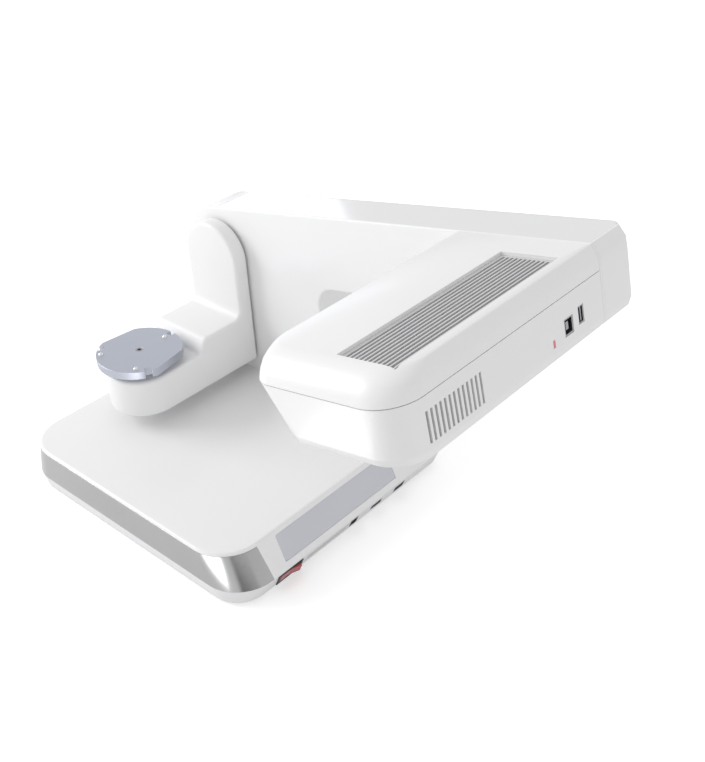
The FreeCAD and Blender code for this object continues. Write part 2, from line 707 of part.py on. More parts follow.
def top_cover():
    shell = top_form(0.0).cut(top_form(HEAD_WALL))
    return upright(shell.cut(grille_zone(0.0, SEAM, HEAD_TOP + 1)))


def head_grille():
    """The ribbed plate under the top cover's opening; its near end follows the cover's slope."""
    plate = grille_zone(-FIT, SEAM, HEAD_TOP + 1).common(top_form(GRILLE_DROP))
    plate = plate.cut(top_form(GRILLE_DROP + GRILLE_DEEP))
    x0, x1, y0, y1 = GRILLE
    pitch = (x1 - x0) / GRILLE_SLOTS
    half = pitch * GRILLE_SLOT_SHARE / 2
    for i in range(GRILLE_SLOTS):
        x = x0 + (i + 0.5) * pitch
        plate = plate.cut(box(x - half, x + half, y0 + 3, y1 - 3, SEAM, HEAD_TOP + 1))
    return upright(plate)


def grille_mesh():
    """The dark mesh that lies straight under the ribs."""
    under = GRILLE_DROP + GRILLE_DEEP
    return upright(grille_zone(-1.0, SEAM, HEAD_TOP).common(top_form(under)).cut(top_form(under + MESH_T)))


CAMERA_YS = (HEAD_FRONT + 41.3, COL_Y - 50.0)
CAMERA_SIDE = 22.0
CAMERA_AIM = 14.0
LENS_R = 8.0
PROJECTOR_Y = (CAMERA_YS[0] + CAMERA_YS[1]) / 2


def optical_bench():
    """The plate that carries the cameras and the projector; it hangs under the frame's arm."""
    return upright(box(HEAD_LEFT + 20, HEAD_RIGHT - 12, HEAD_FRONT + 26, COL_Y - 4, BENCH_N, BENCH_N + BENCH_T))


def camera_parts(y, aim):
    """A camera body and its lens barrel, aimed along the head's left side and inwards."""
    n = BENCH_N + BENCH_T
    half = CAMERA_SIDE / 2
    c = HEAD_LEFT + 52.0
    body = box(c - 12, c + 14, y - half, y + half, n, n + CAMERA_SIDE)
    start = V(c - 12, y, n + half)
    barrel = ring(LENS_R, LENS_R - 1.5, 20.0, start, V(-1, 0, 0))
    collar = ring(LENS_R + 1.5, LENS_R, 6.0, start, V(-1, 0, 0))
    glass = rod(LENS_R - 1.5, 2.5, V(c - 12 - 16, y, n + half), V(-1, 0, 0))
    mount = barrel.fuse(collar)
    turned = []
    for shape in (body, mount, glass):
        shape = shape.copy()
        shape.rotate(V(c, y, n), V(0, 0, 1), aim)
        turned.append(upright(shape))
    return turned


def projector():
    n = BENCH_N + BENCH_T
    c = HEAD_LEFT + 40.0
    body = box(c, c + 22, PROJECTOR_Y - 24, PROJECTOR_Y + 24, n, n + 24)
    neck = rod(11.0, 6.0, V(c - 6, PROJECTOR_Y, n + 12), V(1, 0, 0))
    barrel = ring(9.5, 7.5, 14.0, V(c - 20, PROJECTOR_Y, n + 12), V(1, 0, 0))
    glass = rod(7.5, 3.0, V(c - 17, PROJECTOR_Y, n + 12), V(1, 0, 0))
    return upright(fuse_all([body, neck])), upright(barrel), upright(glass)


FAN_C = 305.5
FAN_Y = PROJECTOR_Y
FAN_SIDE = 36.0
FAN_T = 9.0
FAN_N = 186.5
SINK_SIDE = 32.0
SINK_N0 = BENCH_N + BENCH_T


def heat_sink():
    half = SINK_SIDE / 2
    base = box(FAN_C - half, FAN_C + half, FAN_Y - half, FAN_Y + half, SINK_N0, SINK_N0 + 4)
    fins = [base]
    count = 10
    for i in range(count):
        y = FAN_Y - half + 0.75 + i * (2 * half - 1.5) / (count - 1)
        fins.append(box(FAN_C - half, FAN_C + half, y - 0.75, y + 0.75, SINK_N0, FAN_N - 1.5))
    return upright(fuse_all(fins))


def fan_frame():
    half = FAN_SIDE / 2
    outer = rounded_box(FAN_C - half, FAN_C + half, FAN_Y - half, FAN_Y + half, FAN_N, FAN_N + FAN_T,
                        (3, 3, 3, 3))
    bore = rod(half - 1.2, FAN_T - 0.8, V(FAN_C, FAN_Y, FAN_N + 0.8))
    outer = outer.cut(bore)
    spokes = rod(6.0, 0.8, V(FAN_C, FAN_Y, FAN_N))
    windows = ring(half - 1.2, 6.0, 0.8, V(FAN_C, FAN_Y, FAN_N))
    for angle in (0, 120, 240):
        bar = box(FAN_C, FAN_C + half, FAN_Y - 1.0, FAN_Y + 1.0, FAN_N, FAN_N + 0.8)
        bar.rotate(V(FAN_C, FAN_Y, 0), V(0, 0, 1), angle)
        windows = windows.cut(bar)
    post = rod(1.5, 5.0, V(FAN_C, FAN_Y, FAN_N + 0.8))
    legs = []
    for side in (-1, 1):
        for end in (-1, 1):
            legs.append(rod(1.4, 1.5, V(FAN_C + side * (half - 3), FAN_Y + end * (half - 3), FAN_N - 1.5)))
    return upright(fuse_all([outer.cut(windows).fuse(spokes), post] + legs))


def fan_rotor():
    n0 = FAN_N + 1.4
    hub = rod(7.0, 6.6, V(FAN_C, FAN_Y, n0)).cut(rod(1.5 + RUN, 5.2, V(FAN_C, FAN_Y, n0)))
    blades = [hub]
    for i in range(7):
        blade = box(6.0, 15.6, -0.6, 0.6, -2.4, 2.4)
        blade.rotate(V(0, 0, 0), V(1, 0, 0), 40)
        blade.translate(V(FAN_C, FAN_Y, n0 + 3.4))
        blade.rotate(V(FAN_C, FAN_Y, 0), V(0, 0, 1), i * 360 / 7)
        blades.append(blade)
    return upright(fuse_all(blades))


def side_socket(ys, ns, depth, inset):
    outer = box(HEAD_RIGHT - depth, HEAD_RIGHT - 0.3, ys[0], ys[1], ns[0], ns[1])
    hole = box(HEAD_RIGHT - depth + 1.5, HEAD_RIGHT, ys[0] + inset, ys[1] - inset, ns[0] + inset, ns[1] - inset)
    return outer.cut(hole)


def usb_b_port():
    shell = side_socket(USB_B_Y, USB_B_N, 12.0, 1.0)
    y = (USB_B_Y[0] + USB_B_Y[1]) / 2
    n = (USB_B_N[0] + USB_B_N[1]) / 2
    return upright(shell.fuse(box(HEAD_RIGHT - 12, HEAD_RIGHT - 1.5, y - 1.4, y + 1.4, n - 2.6, n + 2.6)))


def usb_a_port():
    shell = side_socket(USB_A_Y, USB_A_N, 12.0, 0.7)
    y = (USB_A_Y[0] + USB_A_Y[1]) / 2
    return upright(shell.fuse(box(HEAD_RIGHT - 12, HEAD_RIGHT - 1.0, y + 0.2, y + 1.4,
                                  USB_A_N[0] + 0.9, USB_A_N[1] - 0.9)))


def status_led():
    return upright(box(HEAD_RIGHT - 4.0, HEAD_RIGHT, LED_Y - LED_HALF[0], LED_Y + LED_HALF[0],
                       LED_N - LED_HALF[1], LED_N + LED_HALF[1]))


def head_screws():
    screws = []
    for c in (HEAD_LEFT + 30, HEAD_RIGHT - 24):
        for y in (HEAD_FRONT + 34, COL_Y - 24):
            head = rod(2.8, 0.8, V(c, y, HEAD_BOTTOM - 0.8))
            screws.append(upright(head.cut(rod(1.2, 0.5, V(c, y, HEAD_BOTTOM - 0.8)))))
    return Part.makeCompound(screws)


# --- swinging arm ---
ARM_W = 61.5
ARM_REAR = COL_Y - 1.8
PLATE_T = 14.2
ARM_FLOOR = 60.0
DECK_Z = 107.1            # the raised part beside the plate
DECK_Y = 9.0
SEAT_Z = 94.0             # the low part under the turntable
NECK_Y = 1.5
ARM_WALL = 2.5


def arm_profile(inset):
    """The arm from the side: points (y, z) of plate, deck, neck and seat."""
    front = TABLE_Y
    return [(ARM_REAR - inset, ARM_FLOOR + inset), (ARM_REAR - inset, PIVOT_Z),
            (ARM_REAR - PLATE_T + inset, PIVOT_Z), (ARM_REAR - PLATE_T + inset, DECK_Z - inset),
            (DECK_Y, DECK_Z - inset), (NECK_Y, SEAT_Z - inset), (front, SEAT_Z - inset),
            (front, ARM_FLOOR + inset)]


def arm_form(inset):
    half = ARM_W / 2 - inset
    corners = [V(ARM_X - half, y, z) for y, z in arm_profile(inset)]
    body = Part.Face(Part.makePolygon(corners + [corners[0]])).extrude(V(2 * half, 0, 0))
    top = rod(half, PLATE_T - 2 * inset, V(ARM_X, ARM_REAR - PLATE_T + inset, PIVOT_Z), V(0, 1, 0))
    nose = rod(half, SEAT_Z - ARM_FLOOR - 2 * inset, V(ARM_X, TABLE_Y, ARM_FLOOR + inset))
    return fuse_all([body, top, nose])


TABLE_T = 7.0
HUB_TOP = TABLE_Z - TABLE_T
SPINDLE_R = 6.0
TABLE_MOTOR_SIDE = 34.0
TABLE_MOTOR_H = 15.0
BEARING_R = 12.0


def arm_shell():
    shell = arm_form(0.0).cut(arm_form(ARM_WALL))
    lid = arm_floor_zone(0.0)
    spindle = rod(BEARING_R, 20, V(ARM_X, TABLE_Y, SEAT_Z - 10))
    stub = rod(SHAFT_R, 20, V(ARM_X, ARM_REAR - 10, PIVOT_Z), V(0, 1, 0))
    screw = rod(2.6, 1.5, V(ARM_X + 12, ARM_REAR - PLATE_T, 78.0 + 40), V(0, 1, 0))
    return cut_all(shell, [lid, spindle, stub, screw])


def arm_floor_zone(gap):
    """The flat plate that closes the arm from below."""
    half = ARM_W / 2 - ARM_WALL - 1.0 - gap
    plate = box(ARM_X - half, ARM_X + half, TABLE_Y, ARM_REAR - ARM_WALL - 1.0 - gap, ARM_FLOOR,
                ARM_FLOOR + ARM_WALL)
    return plate.fuse(rod(half, ARM_WALL, V(ARM_X, TABLE_Y, ARM_FLOOR))).removeSplitter()


def arm_floor():
    plate = arm_floor_zone(FIT)
    for x, y in arm_screw_places():
        plate = plate.cut(rod(SCREW_R + FIT, 10, V(x, y, ARM_FLOOR - 1)))
        plate = plate.cut(rod(SCREW_HEAD_R + FIT, 1.2, V(x, y, ARM_FLOOR)))
    return plate


def arm_screw_places():
    return [(ARM_X - 20, 45.0), (ARM_X + 20, 45.0), (ARM_X - 20, TABLE_Y - 4), (ARM_X + 20, TABLE_Y - 4)]


def arm_screws():
    screws = []
    for x, y in arm_screw_places():
        head = rod(SCREW_HEAD_R, 1.2, V(x, y, ARM_FLOOR)).cut(rod(1.1, 0.8, V(x, y, ARM_FLOOR)))
        screws.append(head.fuse(rod(SCREW_R, 6.0, V(x, y, ARM_FLOOR + 1.2))).removeSplitter())
    return Part.makeCompound(screws)


def swing_shaft():
    y0 = ARM_REAR - PLATE_T + ARM_WALL
    length = FRAME_Y + 15.0 - y0
    shaft = rod(SHAFT_R, length, V(ARM_X, y0, PIVOT_Z), V(0, 1, 0))
    flange = rod(14.0, 3.0, V(ARM_X, ARM_REAR - ARM_WALL - 3.0, PIVOT_Z), V(0, 1, 0))
    bore = rod(4.0, length, V(ARM_X, y0, PIVOT_Z), V(0, 1, 0))
    return shaft.fuse(flange).cut(bore).removeSplitter()


def table_motor():
    top = SEAT_Z - ARM_WALL - 5.0
    half = TABLE_MOTOR_SIDE / 2
    body = box(ARM_X - half, ARM_X + half, TABLE_Y - half, TABLE_Y + half, top - TABLE_MOTOR_H, top)
    edges = [edge for edge in body.Edges if abs(edge.tangentAt(0).z) > 0.9]
    body = body.makeFillet(4.0, edges)
    return body.cut(rod(2.5 + RUN, TABLE_MOTOR_H, V(ARM_X, TABLE_Y, top - TABLE_MOTOR_H + 2)))


def table_bearing():
    z0 = SEAT_Z - ARM_WALL - 5.0
    inner = SPINDLE_R + RUN
    wide = ring(BEARING_R + 3, inner, 5.0, V(ARM_X, TABLE_Y, z0))
    return wide.fuse(ring(BEARING_R - 0.01, inner, ARM_WALL + 0.4, V(ARM_X, TABLE_Y, z0 + 5.0))).removeSplitter()


FLAT_ANGLES = (11.0, 174.0)
FLAT_R = 32.1             # from the axis to a flat
NOTCH_ANGLES = (89.0, 215.0, 333.0)
NOTCH_R = 31.0
NOTCH_W = 5.4
BALL_R = 2.2
BALL_Z = TABLE_Z - 0.6
BALLS = [(88.0, 26.3), (232.0, 31.4), (316.0, 29.8)]  # angle and distance from the axis
PLATE_SCREW_R = 3.0


def turned_block(r0, width, angle):
    """A block outside a distance from the turntable's axis, as tall as its plate."""
    block = box(r0, TABLE_R + 5, -width / 2, width / 2, HUB_TOP - 1, TABLE_Z + 1)
    block.rotate(V(0, 0, 0), V(0, 0, 1), angle)
    block.translate(V(ARM_X, TABLE_Y, 0))
    return block


def turntable_plate():
    """A disc with two flats, three edge notches and three seats for the locating balls."""
    disc = rod(TABLE_R, TABLE_T, V(ARM_X, TABLE_Y, HUB_TOP))
    tools = [turned_block(FLAT_R, 2 * TABLE_R, angle) for angle in FLAT_ANGLES]
    tools += [turned_block(NOTCH_R, NOTCH_W, angle) for angle in NOTCH_ANGLES]
    for x, y in ball_places():
        tools.append(Part.makeSphere(BALL_R, V(x, y, BALL_Z)))
    tools.append(rod(SPINDLE_R, 4.0, V(ARM_X, TABLE_Y, HUB_TOP)))
    tools.append(rod(PLATE_SCREW_R, TABLE_T, V(ARM_X, TABLE_Y, HUB_TOP)))
    return cut_all(disc, tools)


def ball_places():
    places = []
    for angle, distance in BALLS:
        a = math.radians(angle)
        places.append((ARM_X + distance * math.cos(a), TABLE_Y + distance * math.sin(a)))
    return places


def locating_balls():
    balls = []
    for x, y in ball_places():
        balls.append(Part.makeSphere(BALL_R, V(x, y, BALL_Z)))
    return Part.makeCompound(balls)


def turntable_spindle():
    z0 = SEAT_Z - ARM_WALL - 5.0
    lower = rod(2.5, 12.0, V(ARM_X, TABLE_Y, z0 - 12.0))
    upper = rod(SPINDLE_R, HUB_TOP + 4.0 - z0, V(ARM_X, TABLE_Y, z0))
    flange = rod(13.0, HUB_TOP - SEAT_Z - 1.4, V(ARM_X, TABLE_Y, SEAT_Z + 1.4))
    screw_hole = rod(PLATE_SCREW_R, 4.5, V(ARM_X, TABLE_Y, HUB_TOP))
    return fuse_all([lower, upper, flange]).cut(screw_hole)


def turntable_screw():
    """The flush screw that holds the plate on its spindle."""
    screw = rod(PLATE_SCREW_R - 0.01, TABLE_T - 0.1, V(ARM_X, TABLE_Y, HUB_TOP))
    return screw.cut(rod(PLATE_SCREW_R / 2, 2.5, V(ARM_X, TABLE_Y, TABLE_Z - 2.6)))


def build_base():
    band = trim_band()
    glass = side_glass()
    keep("base_trim_band", band)
    keep("base_glass_panel", glass)
    keep("base_top_cover", base_cover(band, glass))
    keep("base_lower_tray", lower_tray())
    keep("base_ballast_plate", ballast())
    keep("rubber_feet", rubber_feet())
    keep("base_screws", base_screws())
    keep("control_board", control_board())
    keep("base_dust_mesh", dust_mesh())
    keep("power_switch_bezel", switch_bezel())
    keep("power_rocker", rocker())
    keep("power_jack", power_jack())
    keep("base_usb_port", base_usb_port())
    keep("base_sync_port", base_sync_port())


def build_upright():
    keep("column_front_cover", front_cover())
    keep("column_rear_cover", rear_cover())
    keep("column_top_strip", top_strip())
    keep("column_end_cap", end_cap())
    keep("column_frame", column_frame())
    keep("column_screws", column_screws())
    keep("swing_bearing", swing_bearing())
    keep("swing_motor", swing_motor())
    keep("swing_pinion", swing_pinion())


def build_head():
    keep("head_lower_shell", lower_shell())
    keep("head_top_cover", top_cover())
    keep("head_grille", head_grille())
    keep("grille_mesh", grille_mesh())
    keep("scan_window", scan_window())
    keep("optical_bench", optical_bench())
    for side, y, aim in (("front", CAMERA_YS[0], CAMERA_AIM), ("rear", CAMERA_YS[1], -CAMERA_AIM)):
        body, barrel, glass = camera_parts(y, -aim)
        keep("camera_%s" % side, body)
        keep("camera_%s_barrel" % side, barrel)
        keep("camera_%s_lens" % side, glass)
    body, barrel, glass = projector()
    keep("projector_body", body)
    keep("projector_barrel", barrel)
    keep("projector_lens", glass)
    keep("heat_sink", heat_sink())
    keep("fan_frame", fan_frame())
    keep("fan_rotor", fan_rotor())
    keep("head_usb_b_port", usb_b_port())
    keep("head_usb_a_port", usb_a_port())
    keep("status_led", status_led())
    keep("head_screws", head_screws())


def build_arm():
    keep("arm_shell", arm_shell())
    keep("arm_floor", arm_floor())
    keep("arm_screws", arm_screws())
    keep("swing_shaft", swing_shaft())
    keep("swing_gear", swing_gear())
    keep("turntable_motor", table_motor())
    keep("turntable_bearing", table_bearing())
    keep("turntable_plate", turntable_plate())
    keep("locating_balls", locating_balls())
    keep("turntable_spindle", turntable_spindle())
    keep("turntable_screw", turntable_screw())


build_base()
build_upright()
build_head()
build_arm()

os.makedirs("parts", exist_ok=True)
for name, shape in NODES.items():
    placed = shape.copy()
    placed.translate(SHIFT)
    placed.exportStep("parts/%s.step" % name)
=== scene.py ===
import json
import math

import bmesh
import bpy
from bpy.props import FloatProperty, FloatVectorProperty, IntProperty, PointerProperty
from mathutils import Matrix, Vector

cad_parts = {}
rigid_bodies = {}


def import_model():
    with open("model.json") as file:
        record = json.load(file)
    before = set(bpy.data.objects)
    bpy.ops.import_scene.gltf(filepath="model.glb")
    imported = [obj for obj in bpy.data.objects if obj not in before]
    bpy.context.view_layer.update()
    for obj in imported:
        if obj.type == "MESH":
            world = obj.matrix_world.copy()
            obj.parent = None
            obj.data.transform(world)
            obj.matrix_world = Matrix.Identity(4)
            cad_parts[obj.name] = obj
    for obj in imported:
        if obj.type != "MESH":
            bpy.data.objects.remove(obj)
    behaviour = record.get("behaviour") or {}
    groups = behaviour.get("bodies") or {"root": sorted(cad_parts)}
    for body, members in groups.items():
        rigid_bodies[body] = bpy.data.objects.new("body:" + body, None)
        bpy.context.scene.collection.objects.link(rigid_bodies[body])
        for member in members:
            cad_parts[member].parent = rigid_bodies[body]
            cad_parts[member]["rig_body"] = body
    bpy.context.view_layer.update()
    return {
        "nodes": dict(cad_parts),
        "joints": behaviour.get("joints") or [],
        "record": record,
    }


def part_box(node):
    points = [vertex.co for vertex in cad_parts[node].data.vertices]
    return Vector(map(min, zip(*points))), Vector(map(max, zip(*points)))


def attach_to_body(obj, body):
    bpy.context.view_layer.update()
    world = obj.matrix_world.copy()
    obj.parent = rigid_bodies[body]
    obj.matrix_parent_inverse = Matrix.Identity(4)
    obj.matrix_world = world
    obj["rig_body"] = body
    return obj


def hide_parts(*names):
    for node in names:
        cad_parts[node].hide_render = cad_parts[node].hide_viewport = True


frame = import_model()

bl_info = {
    "name": "Desktop Dental Scanner",
    "version": (1, 0, 0),
    "blender": (4, 5, 0),
    "location": "View3D > Sidebar > Scanner",
    "description": "Covers, trim, ports, finishes and stage of a desktop dental scanner",
    "category": "Object",
}

# Pieces are drawn in millimetres, X to the right and Y to the rear. The upright and the head are
# drawn standing straight and are then leaned by TILT.
MM = 0.001
COVER = [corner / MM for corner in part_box("base_top_cover")]
TRAY = [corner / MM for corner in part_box("base_lower_tray")]
ARM = [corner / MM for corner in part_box("arm_shell")]
FAN_AXIS = next(Vector(joint["axis"]) for joint in frame["joints"] if joint["name"] == "fan_spin")
SWING = next(Vector(joint["pos_m"]) for joint in frame["joints"] if joint["name"] == "arm_swing") / MM
SPIN = next(Vector(joint["pos_m"]) for joint in frame["joints"] if joint["name"] == "turntable_spin") / MM
TILT = math.asin(-FAN_AXIS.x)
FOOT_H = TRAY[0].z
BAND_Z = TRAY[1].z
TOP_Z = COVER[1].z
REAR_Y = 106.5
ARM_X = -68.0
MIDDLE = Vector((SWING.x - ARM_X, COVER[1].y - REAR_Y, 0.0))
PLACE = Matrix.Scale(MM, 4) @ Matrix.Translation(MIDDLE)
LEAN = Matrix.Translation((0, 0, FOOT_H)) @ Matrix.Rotation(-TILT, 4, "Y")
EVERYWHERE = 900.0


# --- sizes and colours that a user would change ---
def length(name, description, millimetres):
    return FloatProperty(name=name, description=description, default=millimetres * MM, min=0.0,
                         unit="LENGTH", precision=4)


def colour(name, description, value):
    return FloatVectorProperty(name=name, description=description, default=value, size=3,
                               min=0.0, max=1.0, subtype="COLOR")


class ScannerSizes(bpy.types.PropertyGroup):
    """Sizes of the covers' edges and details."""
    shell_wall: length("Shell wall", "Wall thickness of the moulded covers", 2.5)
    rolled_edge: length("Rolled edge", "Radius of the base cover's top edge", 2.5)
    upright_edge: length("Upright edge", "Radius of the upright's front edge", 1.8)
    arm_edge: length("Arm edge", "Radius of the swinging arm's edges", 3.0)
    arm_fillet: length("Arm fillet", "Radius between the arm's plate and its deck", 8.0)
    head_seam: length("Head seam", "Gap between the head's two covers", 0.5)
    panel_gap: length("Panel gap", "Gap round the trim and the glass panel", 0.15)
    round_steps: IntProperty(name="Round steps", description="Faces in each rounded corner",
                             default=14, min=4)


class ScannerColours(bpy.types.PropertyGroup):
    """Colours of the finishes."""
    shell: colour("Shell", "Satin white covers", (0.86, 0.86, 0.865))
    tray: colour("Tray", "White tray under the base", (0.80, 0.80, 0.81))
    band: colour("Band", "Polished trim band", (0.50, 0.50, 0.505))
    panel: colour("Panel", "Grey glass panel", (0.60, 0.61, 0.66))
    strip: colour("Strip", "Gloss strip on the upright", (0.78, 0.78, 0.79))
    table: colour("Table", "Anodised turntable", (0.56, 0.585, 0.66))
    rocker: colour("Rocker", "Red power rocker", (0.45, 0.06, 0.07))
    lamp: colour("Lamp", "Red status lamp", (0.62, 0.16, 0.20))


def sizes():
    return bpy.context.scene.scanner_sizes


def mm(value):
    return value / MM


# --- modelling helpers; all lengths in millimetres ---
def ring(bm, x0, x1, y0, y1, z, radii):
    """A loop of edges round a rounded rectangle; radii run anticlockwise from the front left."""
    corners = [bm.verts.new(p) for p in ((x0, y0, z), (x1, y0, z), (x1, y1, z), (x0, y1, z))]
    bm.faces.new(corners)
    for corner, radius in zip(corners, radii):
        bmesh.ops.bevel(bm, geom=[corner], offset=radius, segments=sizes().round_steps, profile=0.5,
                        affect="VERTICES", material=-1)
    face = list(bm.faces)[0]
    edges = list(face.edges)
    bmesh.ops.delete(bm, geom=[face], context="FACES_ONLY")
    return edges


def tower(levels):
    """A closed form through a stack of rounded rectangles, from the lowest up."""
    bm = bmesh.new()
    loops = [ring(bm, *level) for level in levels]
    for lower, upper in zip(loops, loops[1:]):
        bmesh.ops.bridge_loops(bm, edges=lower + upper)
    bmesh.ops.edgeloop_fill(bm, edges=loops[0])
    bmesh.ops.edgeloop_fill(bm, edges=loops[-1])
    bmesh.ops.recalc_face_normals(bm, faces=bm.faces)
    return bm


def prism(points, direction, rounds=()):
    """A flat outline pushed along a direction; rounds give (corner's number, radius)."""
    bm = bmesh.new()
    corners = [bm.verts.new(point) for point in points]
    bm.faces.new(corners)
    for number, radius in rounds:
        bmesh.ops.bevel(bm, geom=[corners[number]], offset=radius, segments=sizes().round_steps,
                        profile=0.5, affect="VERTICES", material=-1)
    pushed = bmesh.ops.extrude_face_region(bm, geom=list(bm.faces), use_keep_orig=True)
    moved = [item for item in pushed["geom"] if isinstance(item, bmesh.types.BMVert)]
    bmesh.ops.translate(bm, verts=moved, vec=direction)
    bmesh.ops.recalc_face_normals(bm, faces=bm.faces)
    return bm


def blocks(rows, turn=Matrix.Identity(4)):
    """Boxes given as (x0, x1, y0, y1, z0, z1)."""
    bm = bmesh.new()
    for x0, x1, y0, y1, z0, z1 in rows:
        middle = Matrix.Translation(((x0 + x1) / 2, (y0 + y1) / 2, (z0 + z1) / 2))
        scale = Matrix.Diagonal((x1 - x0, y1 - y0, z1 - z0, 1.0))
        bmesh.ops.create_cube(bm, size=1.0, matrix=turn @ middle @ scale)
    return bm


def rods(rows, steps=48):
    """Rods given as (radius, start, end)."""
    bm = bmesh.new()
    for radius, start, end in rows:
        start = Vector(start)
        axis = Vector(end) - start
        turn = axis.to_track_quat("Z", "Y").to_matrix().to_4x4()
        place = Matrix.Translation(start + axis / 2) @ turn
        bmesh.ops.create_cone(bm, cap_ends=True, segments=steps, radius1=radius, radius2=radius,
                              depth=axis.length, matrix=place)
    return bm


def solid(name, bm, matrix=Matrix.Identity(4)):
    """Makes an object of a form that is still in millimetres."""
    bmesh.ops.transform(bm, matrix=matrix, verts=bm.verts)
    mesh = bpy.data.meshes.new(name)
    bm.to_mesh(mesh)
    bm.free()
    piece = bpy.data.objects.new(name, mesh)
    bpy.context.scene.collection.objects.link(piece)
    return piece


def carve(piece, bm, matrix=Matrix.Identity(4), operation="DIFFERENCE"):
    """Cuts a form out of a piece, or keeps what both hold."""
    tool = solid("tool", bm, matrix)
    cut = piece.modifiers.new("carve", "BOOLEAN")
    cut.solver = "EXACT"
    cut.operation = operation
    cut.object = tool
    bpy.context.view_layer.update()
    graph = bpy.context.evaluated_depsgraph_get()
    mesh = bpy.data.meshes.new_from_object(piece.evaluated_get(graph))
    piece.modifiers.remove(cut)
    before = piece.data
    piece.data = mesh
    bpy.data.meshes.remove(before)
    spent = tool.data
    bpy.data.objects.remove(tool)
    bpy.data.meshes.remove(spent)


def lean(piece):
    """Leans a piece that is drawn standing straight."""
    bm = bmesh.new()
    bm.from_mesh(piece.data)
    bmesh.ops.transform(bm, matrix=LEAN, verts=bm.verts)
    bm.to_mesh(piece.data)
    bm.free()


def twin(piece, name):
    other = bpy.data.objects.new(name, piece.data.copy())
    bpy.context.scene.collection.objects.link(other)
    return other


def round_edges(bm, picked, radius, segments=4):
    bmesh.ops.bevel(bm, geom=picked, offset=radius, segments=segments, profile=0.5, affect="EDGES",
                    clamp_overlap=False, material=-1)
    bmesh.ops.remove_doubles(bm, verts=bm.verts, dist=0.01)


def finish_piece(piece, body, slot, nodes, edge=0.0, sharp=32.0, matrix=PLACE):
    """Places a piece, smooths it, softens its edges, and lets it stand for its CAD nodes."""
    bm = bmesh.new()
    bm.from_mesh(piece.data)
    bmesh.ops.remove_doubles(bm, verts=bm.verts, dist=0.004)
    bmesh.ops.dissolve_limit(bm, angle_limit=math.radians(0.2), verts=bm.verts, edges=bm.edges)
    bmesh.ops.dissolve_degenerate(bm, edges=bm.edges, dist=0.004)
    bmesh.ops.transform(bm, matrix=matrix, verts=bm.verts)
    bm.to_mesh(piece.data)
    bm.free()
    piece.data.name = piece.name
    smooth(piece, edge, sharp)
    attach(piece, body, slot, nodes)


def smooth(piece, edge, sharp):
    for face in piece.data.polygons:
        face.use_smooth = True
    piece.data.set_sharp_from_angle(angle=math.radians(sharp))
    if edge > 0.0:
        soft = piece.modifiers.new("soft edges", "BEVEL")
        soft.limit_method = "ANGLE"
        soft.angle_limit = math.radians(sharp)
        soft.width = edge * MM
        soft.segments = 2
        soft.use_clamp_overlap = True
        soft.harden_normals = True


def attach(piece, body, slot, nodes):
    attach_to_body(piece, body)
    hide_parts(*nodes)
    piece.data.materials.clear()
    piece.data.materials.append(finish_of(slot))


def refined_copy(node, edge, name=None, sharp=32.0):
    """Stands for a CAD node with the same form, merged and with softened edges."""
    source = frame["nodes"][node]
    piece = bpy.data.objects.new(name or node + "_fine", source.data.copy())
    bpy.context.scene.collection.objects.link(piece)
    bm = bmesh.new()
    bm.from_mesh(piece.data)
    bmesh.ops.remove_doubles(bm, verts=bm.verts, dist=2e-6)
    bmesh.ops.dissolve_limit(bm, angle_limit=math.radians(0.6), verts=bm.verts, edges=bm.edges)
    bm.to_mesh(piece.data)
    bm.free()
    smooth(piece, edge, sharp)
    attach(piece, source["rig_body"], SLOT_OF[node], [node])


# --- finishes ---
SLOT_OF = {row["node"]: row["material_slot"] for row in frame["record"]["subparts"]}

